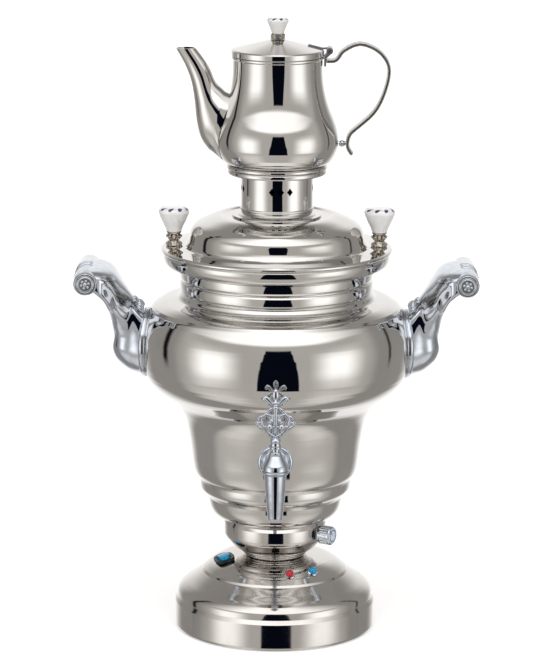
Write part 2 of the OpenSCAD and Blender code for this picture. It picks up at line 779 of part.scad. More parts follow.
// Plug with an angled water way, and its stem up to the key
module tap_plug() {
    color(brassy) difference() {
        union() {
            on_tap_axis(plug_z + 0.2) cylinder(r = plug_r, h = plug_top - plug_z - 0.2, $fn = 64);
            on_tap_axis(plug_top - 1) cylinder(r = key_stem_r, h = stem_top - plug_top + 1, $fn = 48);
        }
        on_tap_axis(plug_z - 1) cylinder(r = way_r, h = tap_z - plug_z + 1, $fn = 48);
        on_tap_axis(tap_z) rotate([0, 90, 0]) cylinder(r = way_r, h = 2 * plug_r, $fn = 48);
        on_tap_axis(tap_z) sphere(r = way_r, $fn = 48);
    }
}

// Pierced key: hub, quatrefoil frame with crossed bars, and a trefoil finial
lobe_r = key_r * 0.44;
key_mid = stem_top + 1.2 + lobe_r * 1.9;
finial_z = key_mid + lobe_r * 1.9 + 6.6;
module quatrefoil(r, grow) {
    for (a = [0, 180]) rotate(a) translate([key_r - lobe_r, 0]) circle(r = r + grow, $fn = 48);
    for (a = [90, 270]) rotate(a) translate([lobe_r * 0.95, 0]) circle(r = r + grow - 0.3, $fn = 48);
}

module key_outline() {
    difference() {
        union() {
            translate([0, key_mid]) quatrefoil(lobe_r, 0);
            polygon([[-2.6, stem_top - 1], [2.6, stem_top - 1], [3.4, key_mid - lobe_r],
                     [-3.4, key_mid - lobe_r]]);
            polygon([[-3, key_mid + lobe_r * 1.6], [3, key_mid + lobe_r * 1.6], [1.5, finial_z - 4],
                     [-1.5, finial_z - 4]]);
            for (s = [-1, 1]) translate([s * lobe_r * 0.78, finial_z]) circle(r = lobe_r * 0.46, $fn = 32);
            translate([0, finial_z - 3.2]) circle(r = lobe_r * 0.42, $fn = 32);
            translate([0, finial_z + 1])
                polygon([[-2.9, -1], [0, -3], [2.9, -1], [1.4, 4.4], [0, 8], [-1.4, 4.4]]);
            translate([-lobe_r * 0.8, finial_z - 1.4]) square([lobe_r * 1.6, 2.8]);
        }
        for (sx = [-1, 1]) translate([sx * (key_r - lobe_r), key_mid]) circle(r = lobe_r - 2.8, $fn = 48);
        for (sz = [-1, 1]) translate([0, key_mid + sz * lobe_r * 0.95]) circle(r = lobe_r - 3.6, $fn = 48);
    }
}

module tap_key() {
    color(plate) difference() {
        union() {
            translate([0, -tap_reach + key_t / 2, 0]) rotate([90, 0, 0]) linear_extrude(key_t)
                key_outline();
            on_tap_axis(key_mid) rotate([90, 0, 0])
                cylinder(r = 2.6, h = key_t + 1.6, center = true, $fn = 32);
            on_tap_axis(stem_top - 6.2)
                cylinder(r1 = key_stem_r + 1.6, r2 = key_stem_r + 0.9, h = 7.4, $fn = 48);
        }
        on_tap_axis(stem_top - 20) cylinder(r = key_stem_r + fit, h = 20 + fit, $fn = 48);
    }
}

// --- Carrying handles -------------------------------------------------------

grip_z = wide_z + grip_rise;
flange_t = 4.5;
root_low = wide_z - 24;
root_high = wide_z + 29;

// Side outline of the casting: up over the arm, round the grip, back under to the bulb
arm_top = smooth([
    [belly_r - 4, root_high], [belly_r + 2, wide_z + 35.5], [belly_r + 8.5, wide_z + 43.5],
    [belly_r + 14.5, wide_z + 52.5], [belly_r + 20.5, grip_z + 3.6],
    [grip_reach - 18, grip_z + grip_r - 1.4], [grip_reach - 10, grip_z + grip_r],
    [grip_reach, grip_z + grip_r]
], 3);
arm_under = smooth([
    [grip_reach, grip_z - grip_r], [grip_reach - 5.6, grip_z - grip_r - 0.5],
    [grip_reach - 10.8, grip_z - 14.5], [grip_reach - 14.8, grip_z - 20], [grip_reach - 17.4, grip_z - 28],
    [grip_reach - 19.8, grip_z - 40], [belly_r + 21.5, wide_z + 6.5]
], 3);
bulb_line = smooth([
    [belly_r + 21.5, wide_z + 6.5], [belly_r + 23.4, wide_z - 1], [belly_r + 22.4, wide_z - 7],
    [belly_r + 19, wide_z - 13], [belly_r + 11, wide_z - 20], [belly_r - 1, root_low]
], 3);
root_line = [
    for (k = [0:8]) let (z = root_low + (root_high - root_low) * k / 8) [radius_at(tank_line, z) + 0.8, z]
];

// Half widths of the casting, seen from above and from its side
plan_line = smooth([
    [belly_r - 14, waist_w / 2 + 3], [belly_r + 2, waist_w / 2 + 1], [belly_r + 11, waist_w / 2],
    [belly_r + 21, waist_w / 2 + 9], [grip_reach - 14, grip_len / 2 - 3], [grip_reach - 8, grip_len / 2],
    [grip_reach + grip_r + 1, grip_len / 2]
], 3);
side_line = smooth([
    [root_low - 3, waist_w / 2 - 6], [wide_z - 16, flange_w / 2 - 4], [wide_z - 4, flange_w / 2 - 2.4],
    [wide_z + 8, waist_w / 2], [wide_z + 22, waist_w / 2 + 3], [wide_z + 36, grip_len / 2 - 8],
    [grip_z - 8, grip_len / 2], [grip_z + grip_r + 1, grip_len / 2]
], 3);

function mirrored(line) = concat(line, [for (q = reversed(line)) [q[0], -q[1]]]);

module flange_plate() {
    z_mid = wide_z + 2.5;
    intersection() {
        difference() {
            tank_core(z_mid - flange_h / 2 - 1, z_mid + flange_h / 2 + 1, flange_t);
            tank_core(z_mid - flange_h / 2 - 2, z_mid + flange_h / 2 + 2, fit);
        }
        translate([belly_r - 24, 0, z_mid]) rotate([90, 0, 90]) linear_extrude(40)
            polygon([for (k = [0:35]) [flange_w / 2 * cos(10 * k), flange_h / 2 * sin(10 * k)]]);
    }
}

// Grip roll along Y with three beads at its middle and a rosette on each end
module grip_roll() {
    translate([grip_reach, 0, grip_z]) rotate([90, 0, 0]) {
        cylinder(r = grip_r, h = grip_len, center = true);
        for (k = [-1:1]) rotate_extrude() translate([grip_r - 0.4, k * 7]) circle(r = 1.5, $fn = 24);
        for (s = [-1, 1]) translate([0, 0, s * grip_len / 2]) {
            sphere(r = 2.4, $fn = 32);
            for (k = [0:5]) rotate([0, 0, 60 * k]) translate([4.8, 0, 0]) sphere(r = 1.7, $fn = 24);
        }
    }
}

module handle_casting() {
    difference() {
        union() {
            intersection() {
                translate([0, grip_len, 0]) rotate([90, 0, 0]) linear_extrude(2 * grip_len) polygon(concat(
                    arm_top, arc([grip_reach, grip_z], grip_r, 80, -80, 8), arm_under, bulb_line, root_line
                ));
                linear_extrude(2 * grip_z) polygon(mirrored(plan_line));
                translate([belly_r - 30, 0, 0]) rotate([90, 0, 90]) linear_extrude(100) polygon(
                    [for (q = mirrored(side_line)) [q[1], q[0]]]
                );
            }
            flange_plate();
            grip_roll();
        }
        for (dz = [-screw_rise, screw_rise]) translate([belly_r - 12, 0, wide_z + dz]) rotate([0, 90, 0])
            cylinder(r = handle_screw_r + fit, h = 26, $fn = 48);
    }
}

module handle_right() { color(plate) handle_casting(); }
module handle_left() { color(plate) mirror([1, 0, 0]) handle_casting(); }

washer_r = 6;
washer_t = 1.6;
screw_head_r = 4.6;
washer_wall_r = radius_at(tank_line, wide_z + screw_rise + washer_r) - sheet;
washer_seat = sqrt(pow(washer_wall_r, 2) - pow(washer_r, 2)) - fit;
module handle_washers() {
    color("firebrick") at_handle_screws() translate([0, 0, washer_seat - washer_t]) difference() {
        cylinder(r = washer_r, h = washer_t, $fn = 48);
        translate([0, 0, -1]) cylinder(r = handle_screw_r + fit, h = washer_t + 2, $fn = 48);
    }
}

module handle_screws() {
    color(plate) at_handle_screws() translate([0, 0, washer_seat - washer_t - fit]) {
        cylinder(r = handle_screw_r, h = 14 + washer_t, $fn = 48);
        difference() {
            rotate_extrude($fn = 48) polygon(concat(
                [[0, 0.01], [screw_head_r, 0.01]], arc([0, -1], screw_head_r, 0, -60, 4), [[0, -5]]
            ));
            translate([-5, -0.5, -6]) cube([10, 1, 2.4]);
        }
    }
}

// --- Lid ----------------------------------------------------------------------

ledge_top = lid_z + brim_t + 0.5;
collar_out = rim_r - 0.8 - sheet - play - 0.3;
module lid_shell() {
    color(steel) difference() {
        union() {
            spun(lid_line, sheet);
            ring(brim_r - 0.9, rim_r - 0.8 - 2 * sheet, lid_z, brim_t - 0.9);
            ring(collar_out, collar_out - sheet, lid_z - 6.5, brim_t + 5);
        }
        at_posts(ledge_top - 6) cylinder(r = stud_r + fit, h = 12, $fn = 48);
    }
}

module at_posts(z) {
    for (s = [-1, 1]) translate([s * knob_pitch, 0, z]) children();
}

post_z = height_at(lid_line, knob_pitch - 5.7) + fit;
module lid_posts() {
    color(plate) at_posts(post_z) {
        rotate_extrude() polygon(concat(
            [[0, 0]],
            smooth([[5.7, 0], [5.5, 0.9], [3.8, post_h * 0.3], [3.4, post_h * 0.5], [4.4, post_h * 0.76],
                    [6.1, post_h * 0.95], [6.1, post_h]], 2),
            [[0, post_h]]
        ));
        translate([0, 0, -6.5]) cylinder(r = stud_r, h = 7, $fn = 48);
        translate([0, 0, post_h - 1]) cylinder(r = 2.4, h = 9, $fn = 48);
    }
}

// Porcelain knob: narrow foot, flared sides and a shallow crown
module porcelain_knob(r, h, foot_r, bore_r, bore_h) {
    difference() {
        rotate_extrude() polygon(concat(
            [[0, 0], [foot_r, 0]],
            smooth([[foot_r + 0.2, 0.6], [foot_r + (r - foot_r) * 0.22, h * 0.2], [r * 0.8, h * 0.46],
                    [r - 0.5, h * 0.7], [r, h * 0.8], [r - 0.8, h * 0.9], [r - 3.4, h * 0.97], [0, h]], 3)
        ));
        translate([0, 0, -1]) cylinder(r = bore_r, h = bore_h + 1, $fn = 48);
    }
}

module lid_knobs() {
    color(porcelain) at_posts(post_z + post_h + fit) porcelain_knob(knob_r, knob_h, 6, 2.4 + fit, 8.4);
}

module lid_nuts() {
    color(plate) at_posts(ledge_top - 0.2 - sheet - 3.6) hex_nut(7, stud_r + fit, 2.6);
}

// --- Steam crown ----------------------------------------------------------------

crown_flange_r = crown_r + 7.2;
vent_z = crown_z + 23.5;
vent_headings = [for (q = [0:3], k = [-1:1]) 6.5 + 90 * q + 14.5 * k];

// Tube with groups of three diamond vents, a bead and a flange on the lid
module crown_tube() {
    color(steel) difference() {
        union() {
            ring(crown_r, crown_r - sheet, crown_z, crown_h - fit);
            ring(crown_flange_r, steam_r - play - sheet, crown_z, sheet);
            ring(steam_r - play, steam_r - play - sheet, crown_z - 5, 5 + sheet);
            rotate_extrude() translate([crown_r - 0.5, crown_z + 6.4]) circle(r = 1.4, $fn = 24);
            rotate_extrude() polygon([
                [crown_r - 0.2, crown_z + sheet - 0.1], [crown_r + 3.4, crown_z + sheet - 0.1],
                [crown_r + 2, crown_z + 2.4], [crown_r - 0.2, crown_z + 3.2]
            ]);
        }
        translate([0, 0, crown_z + 3]) cylinder(r = crown_r - sheet, h = 6);
        for (a = vent_headings) outward(a, crown_r - 4, vent_z) linear_extrude(8)
            polygon([[vent_h / 2, 0], [0, vent_w / 2], [-vent_h / 2, 0], [0, -vent_w / 2]]);
    }
}

// Ring on the tube that the teapot stands on: its flat land, its bore and the collar inside the tube
ring_land = 5.6;
ring_bore_r = 24;
ring_collar = 3.4;
module crown_ring() {
    color(steel) rotate_extrude() polygon(concat(
        [[ring_r - 1.6, plate_z]], arc([ring_r - 1.6, plate_z + 1.6], 1.6, -60, 0, 3),
        arc([ring_r - 1.6, plate_z + ring_t - 1.6], 1.6, 0, 90, 4),
        [
            [ring_r - ring_land, plate_z + ring_t], [ring_r - ring_land, plate_z + sheet],
            [ring_bore_r, plate_z + sheet], [ring_bore_r, plate_z - ring_collar],
            [ring_bore_r + sheet, plate_z - ring_collar], [ring_bore_r + sheet, plate_z]
        ]
    ));
}

// --- Teapot -----------------------------------------------------------------------

pot_inner_foot = ring_r - ring_land - play;
pot_foot_h = 3.4;
pot_spigot = 2.6;
pot_floor_z = pot_z + pot_foot_h;

module pot_foot() {
    color(steel) rotate_extrude() polygon([
        [pot_foot_r - 0.8, pot_z], [pot_foot_r, pot_z + 0.8], [pot_foot_r, pot_z + 2.2],
        [pot_foot_r - 1.4, pot_floor_z - fit], [pot_inner_foot - sheet, pot_floor_z - fit],
        [pot_inner_foot - sheet, pot_z - pot_spigot], [pot_inner_foot, pot_z - pot_spigot],
        [pot_inner_foot, pot_z]
    ]);
}

// Where the spout's wide root meets the belly, and the strainer holes behind it
root_mid = pot_z + 34;
root_half_h = 31;
root_half_w = 16;
strainer_r = 1.3;
module pot_body() {
    color(steel) difference() {
        union() {
            spun(pot_line, pot_wall);
            translate([0, 0, pot_floor_z]) cylinder(r = pot_foot_r - 2.4, h = pot_wall);
        }
        for (row = [-1:2], k = [-1:1]) translate([0, k * 5 + (row % 2) * 2.5, root_mid + row * 5])
            rotate([0, -90, 0]) cylinder(r = strainer_r, h = pot_r + 2, $fn = 24);
    }
}

// Spout sections from the root to the mouth: outer edge, inner edge and half width across
function pot_at(z) = radius_at(pot_line, z);
spout_keys = [
    [-55.5, pot_z + 14.6, -42, pot_z + 62.4, 15.6],
    [-61.8, pot_z + 24, -45.2, pot_z + 65.4, 14.2],
    [-65.4, pot_z + 38, -48.8, pot_z + 68.6, 12.4],
    [-67, pot_z + 54, -51.4, pot_z + 73, 10.6],
    [-69.6, pot_z + 70, -54.2, pot_z + 80, 9],
    [-74.8, pot_z + 84, -59.4, pot_z + 88.6, 7.6],
    [-pot_reach - 8.2, pot_z + 97.2, -pot_reach + 7.9, pot_z + 97.4, 6.9]
];
spout_steps = smooth(spout_keys, 3);
spout_sides = 28;
spout_wall = 1.1;

// One section: an ellipse on the line from the outer to the inner edge, made smaller by inset
function section(k, inset) = let (
    a = [k[0], k[1]], b = [k[2], k[3]], mid = (a + b) / 2, half = norm(b - a) / 2 - inset, dir = unit(b - a)
) [for (i = [0:spout_sides - 1]) let (
    t = 360 * i / spout_sides, p = mid + dir * half * cos(t)
) [p[0], (k[4] - inset) * sin(t), p[1]]];

// The root's section, laid on the belly
function root_section(inset) = [for (i = [0:spout_sides - 1]) let (
    t = 360 * i / spout_sides,
    z = root_mid - 3 + (root_half_h - 2 - inset) * cos(t),
    y = (root_half_w - inset) * sin(t)
) [-sqrt(pow(pot_at(z) + 0.12, 2) - y * y), y, z]];

module pot_spout() {
    outer = concat([root_section(0)], [for (k = spout_steps) section(k, 0)]);
    inner = concat([root_section(spout_wall)], [for (k = spout_steps) section(k, spout_wall)]);
    rings = concat(outer, reversed(inner));
    n = spout_sides;
    m = len(rings);
    color(steel) polyhedron(
        points = [for (s = rings) each s],
        faces = [for (j = [0:m - 1], i = [0:n - 1], half = [0, 1])
            let (
                a = j * n + i, b = j * n + (i + 1) % n,
                c = ((j + 1) % m) * n + (i + 1) % n, d = ((j + 1) % m) * n + i
            )
            half == 0 ? [a, b, c] : [a, c, d]]
    );
}

// Flat strip bent to the handle's outline, with a curled tail
handle_root_z = pot_rim_z - 3.4;
bracket_x = pot_neck_r + 1 + fit;
bracket_t = 1.6;
tail_in = 32.8;
pot_handle_line = smooth([
    [bracket_x + bracket_t + fit, handle_root_z], [pot_neck_r + 9, handle_root_z + 0.2],
    [pot_neck_r + 12.4, handle_root_z + 2.6], [pot_neck_r + 17, handle_root_z + 8.6],
    [pot_grip - 23.6, handle_root_z + 14], [pot_grip - 9.6, handle_root_z + 9],
    [pot_grip - 1.2, handle_root_z - 1], [pot_grip, handle_root_z - 12],
    [pot_grip - 4.6, handle_root_z - 28.6], [pot_grip - 12, handle_root_z - 42],
    [pot_grip - 24, handle_root_z - 53], [pot_grip - 30.6, handle_root_z - 59],
    [pot_grip - tail_in, handle_root_z - 66], [pot_grip - 32.2, handle_root_z - 71],
    [pot_grip - 29, handle_root_z - 76]
], 3);
standoff_z = handle_root_z - 67.4;
standoff_end = pot_grip - tail_in - strip_t / 2 - seat - fit;
standoff_r = 1.8;

module pot_handle() {
    color(steel) translate([0, strip_w / 2, 0]) rotate([90, 0, 0]) linear_extrude(strip_w)
        polygon(concat(
            shifted(pot_handle_line, strip_t / 2), reversed(shifted(pot_handle_line, -strip_t / 2))
        ));
}

// Ball on a short stud between belly and handle
module pot_standoff() {
    start = pot_at(standoff_z + standoff_r) + fit;
    color(plate) translate([start, 0, standoff_z]) rotate([0, 90, 0]) {
        cylinder(r = standoff_r, h = standoff_end - start, $fn = 32);
        translate([0, 0, (standoff_end - start) / 2]) sphere(r = 2.7, $fn = 48);
    }
}

// Hinge: bracket on the neck with two knuckles, leaf on the lid with one
hinge_x = bracket_x + 4.4;
hinge_z = pot_rim_z + 5;
pin_r = 1.2;
knuckle_w = 4;
module knuckle(y0, w) {
    translate([hinge_x, y0 + w, hinge_z]) rotate([90, 0, 0]) cylinder(r = hinge_r, h = w, $fn = 48);
}

module pin_bore(gap) {
    translate([hinge_x, 20, hinge_z]) rotate([90, 0, 0]) cylinder(r = pin_r + gap, h = 40, $fn = 48);
}

module pot_hinge() {
    color(steel) difference() {
        union() {
            for (s = [-1, 1]) {
                knuckle(s * (knuckle_w + play) - knuckle_w / 2, knuckle_w);
                translate([0, s * (knuckle_w + play) + knuckle_w / 2, 0]) rotate([90, 0, 0])
                    linear_extrude(knuckle_w) polygon([
                        [bracket_x, handle_root_z - 4], [bracket_x + bracket_t, handle_root_z - 4],
                        [bracket_x + bracket_t, pot_rim_z - 1],
                        [hinge_x + hinge_r * 0.8, hinge_z - hinge_r * 0.5],
                        [hinge_x - hinge_r * 0.8, hinge_z - hinge_r * 0.5], [bracket_x, pot_rim_z]
                    ]);
            }
            translate([bracket_x, -knuckle_w, handle_root_z - 4]) cube([bracket_t, 2 * knuckle_w, 6]);
        }
        pin_bore(fit);
    }
}

module hinge_pin() {
    color(plate) translate([hinge_x, 1.5 * knuckle_w + play + 0.6, hinge_z]) rotate([90, 0, 0])
        cylinder(r = pin_r, h = 3 * knuckle_w + 2 * play + 1.2, $fn = 48);
}

// Lid: flat rim, shallow cone and a short collar inside the neck
cap_r = pot_neck_r + 1.2;
cap_rim_h = 5.6;
cone_top_r = 7;
collar_drop = 3;
cap_line = concat(
    [
        [cap_r - 0.8, cap_z], [cap_r, cap_z + 0.8], [cap_r, cap_z + cap_rim_h - 1],
        [cap_r - 1, cap_z + cap_rim_h]
    ],
    [[cone_top_r, cap_z + cap_rim_h + cone_h - 0.4], [0, cap_z + cap_rim_h + cone_h]]
);
module pot_lid() {
    collar_r = pot_neck_r - pot_wall - play - 0.4;
    color(steel) {
        difference() {
            rotate_extrude() polygon(concat(cap_line, [[0, cap_z]]));
            rotate_extrude() polygon([[0, cap_z - 1], [cap_r - pot_wall - 1.2, cap_z - 1],
                [cap_r - pot_wall - 1.2, cap_z + cap_rim_h - 1.2], [0, cap_z + cap_rim_h + cone_h - 1.4]]);
        }
        ring(collar_r, collar_r - pot_wall, cap_z - collar_drop, collar_drop + 2);
        ring(cap_r - pot_wall, collar_r - pot_wall, cap_z, pot_wall);
    }
}

// Leaf: follows the cone, then turns up to its knuckle
module lid_leaf() {
    slope = (cone_h - 0.4) / (cap_r - 1 - cone_top_r);
    leaf_t = 1.3;
    x0 = cap_r - 13;
    z0 = cap_z + cap_rim_h + slope * (cap_r - 1 - x0) + fit;
    z1 = cap_z + cap_rim_h + slope * 0.4 + fit;
    color(steel) difference() {
        union() {
            knuckle(-knuckle_w / 2 + fit, knuckle_w - 2 * fit);
            translate([0, knuckle_w / 2 - fit, 0]) rotate([90, 0, 0]) linear_extrude(knuckle_w - 2 * fit)
                polygon([
                    [x0, z0], [cap_r - 1.4, z1], [hinge_x, hinge_z + hinge_r - 1.6],
                    [hinge_x, hinge_z + hinge_r], [cap_r - 1.2, z1 + leaf_t], [x0, z0 + leaf_t]
                ]);
        }
        pin_bore(run_gap);
    }
}

pot_knob_z = cap_z + cap_rim_h + cone_h;
pot_knob_r = 8.9;
pot_knob_h = 13.2;
pot_post_h = 4.6;
pot_stud_r = 2;
pot_stud_h = 5.8;
module pot_knob_post() {
    color(plate) translate([0, 0, pot_knob_z + fit]) {
        rotate_extrude($fn = 64) polygon(concat(
            [[0, 0]],
            smooth([[6.2, 0], [4, pot_post_h * 0.26], [3.1, pot_post_h * 0.565], [4.6, pot_post_h]], 3),
            [[0, pot_post_h]]
        ));
        translate([0, 0, pot_post_h - 0.6]) cylinder(r = pot_stud_r, h = pot_stud_h + 0.6, $fn = 32);
    }
}

module pot_knob() {
    color(porcelain) translate([0, 0, pot_knob_z + pot_post_h + 2 * fit])
        porcelain_knob(pot_knob_r, pot_knob_h, 4.8, pot_stud_r + fit, pot_stud_h + 0.4);
}

// --- Drawing ------------------------------------------------------------------------

foot_ring();
base_plate();
plate_screws();
base_shell();
cord_gland();
terminal_block();
lamp_red();
lamp_blue();
lamp_bezels();
switch_bezel();
switch_rocker();
stem();
drum();
tie_rod();
tie_nuts();
thermostat();
thermostat_nut();
thermostat_spindle();
thermostat_knob();
tank_cup();
tank_funnel();
tank_lower();
tank_upper();
tank_neck();
tank_floor();
floor_seal();
heating_element();
element_nuts();
dry_boil_cutout();
tap_rosette();
tap_body();
tap_nut();
tap_seal();
tap_bonnet();
tap_plug();
tap_key();
handle_left();
handle_right();
handle_screws();
handle_washers();
lid_shell();
lid_posts();
lid_knobs();
lid_nuts();
crown_tube();
crown_ring();
pot_body();
pot_foot();
pot_spout();
pot_handle();
pot_standoff();
pot_hinge();
hinge_pin();
pot_lid();
lid_leaf();
pot_knob_post();
pot_knob();
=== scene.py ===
"""Looks of an electric samovar and its teapot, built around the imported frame.

Lengths are metres in the frame's own axes, unless a name ends in _mm or a class says
millimetres. Each sub-assembly is a class whose fields are its sizes and whose methods
make its meshes and dress them. main() builds them in order.
"""

import logging
import math
from collections.abc import Callable, Sequence
from dataclasses import dataclass
from enum import Enum
from functools import partial
from itertools import accumulate

import bmesh
import bpy
from mathutils import Matrix, Vector


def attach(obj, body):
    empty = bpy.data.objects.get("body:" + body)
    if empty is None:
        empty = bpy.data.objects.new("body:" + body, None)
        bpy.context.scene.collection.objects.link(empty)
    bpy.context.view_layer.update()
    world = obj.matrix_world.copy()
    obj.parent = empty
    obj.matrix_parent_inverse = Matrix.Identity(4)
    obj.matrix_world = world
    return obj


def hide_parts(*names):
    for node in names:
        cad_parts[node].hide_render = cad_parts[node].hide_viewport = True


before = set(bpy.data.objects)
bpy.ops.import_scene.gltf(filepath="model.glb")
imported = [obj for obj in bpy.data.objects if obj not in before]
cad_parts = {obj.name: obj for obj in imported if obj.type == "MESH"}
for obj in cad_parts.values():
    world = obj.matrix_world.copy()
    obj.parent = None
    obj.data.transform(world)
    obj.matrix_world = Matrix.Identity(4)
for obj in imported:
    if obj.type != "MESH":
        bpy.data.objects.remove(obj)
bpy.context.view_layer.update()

MM = 0.001
WELD = 0.002 * MM
SAME_PLACE = 1e-9
UP = Vector((0, 0, 1))
ACROSS = Vector((0, 1, 0))
LOG = logging.getLogger("samovar")

Point = tuple[float, float]
Line = Sequence[Point]
Mesh = bmesh.types.BMesh
Vert = bmesh.types.BMVert
Tree = bpy.types.NodeTree
Node = bpy.types.Node
Socket = bpy.types.NodeSocket
Source = Node | Socket | float | Sequence[float]
Inputs = dict[str | int, Source]
Adder = Callable[..., Node]


class Body(Enum):
    """What moves as one."""

    URN = "urn"
    TAP_VALVE = "tap_valve"
    DIAL = "thermostat_dial"
    LID = "lid"
    CROWN = "crown"
    TEAPOT = "teapot"
    TEAPOT_LID = "teapot_lid"


class Slot(Enum):
    """Material slot names; each finish carries one."""

    STEEL = "polished_steel"
    CASTING = "chromed_casting"
    PORCELAIN = "porcelain"
    DIAL = "dial_plastic"


class Grain(Enum):
    """Which way the marks of polishing run."""

    AROUND = "round the upright axis"
    NONE = "in no direction"


# --- Colours and nodes ----------------------------------------------------


def linear(hex_colour: str, strength: float = 1.0) -> tuple[float, ...]:
    """Turns an sRGB colour into linear light.

    Args:
        hex_colour: the colour as "#RRGGBB".
        strength: what its light is multiplied by.

    Returns:
        Red, green and blue in linear light, and an alpha of 1.
    """
    parts = [int(hex_colour[k:k + 2], 16) / 255 for k in (1, 3, 5)]
    return *(strength * (p / 12.92 if p <= 0.04045 else ((p + 0.055) / 1.055) ** 2.4) for p in parts), 1.0


def feed(tree: Tree, node: Node, sources: Inputs) -> None:
    """Sets or links a node's inputs.

    Args:
        tree: the node tree.
        node: the node.
        sources: for each input, by name or number, a value, a socket, or a node, which
            gives its first output.
    """
    for key, source in sources.items():
        if isinstance(source, Node):
            source = next(output for output in source.outputs if output.enabled)
        if isinstance(source, Socket):
            tree.links.new(source, node.inputs[key])
        else:
            node.inputs[key].default_value = source


# What every node of a kind is set to here: a smooth rise between two values, and a mix of colours
USUAL = {"MapRange": {"interpolation_type": "SMOOTHSTEP"}, "Mix": {"data_type": "RGBA"}}


def add_node(tree: Tree, kind: str, *sources: Source | Inputs, **settings: str) -> Node:
    """Adds one node with its settings and what feeds its inputs.

    Args:
        tree: the node tree that gets the node.
        kind: the node's type. "ShaderNode" before it may be left out.
        *sources: what its inputs take, in order, or a dict of them, as feed() reads it.
        **settings: the node's own properties, beside the usual ones of its kind.

    Returns:
        The new node.
    """
    node = tree.nodes.new(kind if "Node" in kind else "ShaderNode" + kind)
    for key, value in (USUAL.get(kind, {}) | settings).items():
        setattr(node, key, value)
    for place, source in enumerate(sources):
        feed(tree, node, source if isinstance(source, dict) else {place: source})
    return node


def lumps(place: Node | Socket, size_mm: float, detail: float = 2.0) -> Inputs:
    """Gives the inputs of cloud noise whose lumps have a real size."""
    return {"Vector": place, "Scale": 1 / (size_mm * MM), "Detail": detail}


def blend(share: Source, first: Source, second: Source) -> Inputs:
    """Gives the inputs of a colour mix: its factor and its two colours, which have numbered sockets."""
    return {0: share, 6: first, 7: second}


# --- Finishes -------------------------------------------------------------
#
# Buffing marks, moulded grain, wiping marks, oxide skin and print grit are a few hundredths of
# a millimetre across, too fine to show. They are drawn as coarse as they need to show: ring_mm,
# grain_mm, wear_mm, skin_mm and speckle_mm are 10 to 30 times the real size. The ripple, the
# haze, the brush marks, the glaze's flow and the heat bands have their real size.


@dataclass(frozen=True)
class Finish:
    """A surface: what it is made of and how it was worked."""

    name: str
    colour: str
    roughness: float
    slot: Slot = Slot.STEEL

    def material(self) -> bpy.types.Material:
        """Gives the material, made on first use.

        Returns:
            The material.
        """
        found = bpy.data.materials.get(self.name)
        if found is not None:
            return found
        made = bpy.data.materials.new(self.name)
        made.use_nodes = True
        made.diffuse_color = linear(self.colour)
        tree = made.node_tree
        place = add_node(tree, "TexCoord").outputs["Object"]
        plain = {"Roughness": self.roughness}
        feed(tree, tree.nodes["Principled BSDF"], plain | self.dressing(partial(add_node, tree), place))
        return made

    def dressing(self, add: Adder, place: Socket) -> Inputs:
        """Makes what this finish has beyond one colour.

        Args:
            add: adds a node to the material's tree.
            place: the place on the object, in metres of its own frame.

        Returns:
            What feeds the Principled shader's inputs.
        """
        raise NotImplementedError

    def tint(self, share: Source, other: str) -> Inputs:
        """Gives the inputs of a mix from the finish's own colour to another, as "#RRGGBB"."""
        return blend(share, linear(self.colour), linear(other))


def turned_place(add: Adder, place: Socket) -> Node:
    """Gives (distance from the upright axis, height, a little of the angle), in metres.

    A pattern that reads this runs in rings, as the marks of a spinning lathe or buff do.

    Args:
        add: adds a node to the material's tree.
        place: the place on the object.

    Returns:
        The node that gives the vector.
    """
    x, y, height = add("SeparateXYZ", place).outputs
    squares = [add("Math", side, side, operation="MULTIPLY") for side in (x, y)]
    radius = add("Math", add("Math", *squares, operation="ADD"), operation="SQRT")
    angle = add("Math", y, x, operation="ARCTAN2")
    return add("CombineXYZ", radius, height, add("Math", angle, MM, operation="MULTIPLY"))


@dataclass(frozen=True)
class BuffedMetal(Finish):
    """Metal spun or drawn to shape and buffed: rings of fine marks, haze where hands have been."""

    shade: str = "#B9B2A9"
    ring_mm: float = 0.9
    ring_depth_mm: float = 0.002
    haze: float = 0.05
    haze_mm: float = 34.0
    haze_span: Point = (0.4, 0.8)
    shade_span: Point = (0.35, 0.75)
    mark_span: Point = (0.45, 0.8)
    grain: Grain = Grain.AROUND

    def dressing(self, add: Adder, place: Socket) -> Inputs:
        """Makes the rings, the haze and the faint change of tint.

        Args:
            add: adds a node to the material's tree.
            place: the place on the object, in metres of its own frame.

        Returns:
            What feeds the Principled shader's inputs.
        """
        along = turned_place(add, place) if self.grain is Grain.AROUND else place
        rings = add("TexNoise", lumps(along, self.ring_mm, 1.0))
        cloud = add("TexNoise", lumps(place, self.haze_mm, 3.0))
        shaded = add("MapRange", cloud, *self.shade_span)
        marks = add("Math", add("MapRange", rings, *self.mark_span), self.haze / 2, operation="MULTIPLY")
        dulled = add("MapRange", cloud, *self.haze_span)
        cloudy = add("Math", dulled, self.haze, self.roughness, operation="MULTIPLY_ADD")
        return {"Metallic": 1.0, "Base Color": add("Mix", self.tint(shaded, self.shade)),
                "Roughness": add("Math", cloudy, marks, operation="ADD"),
                "Normal": add("Bump", {"Height": rings, "Distance": self.ring_depth_mm * MM})}


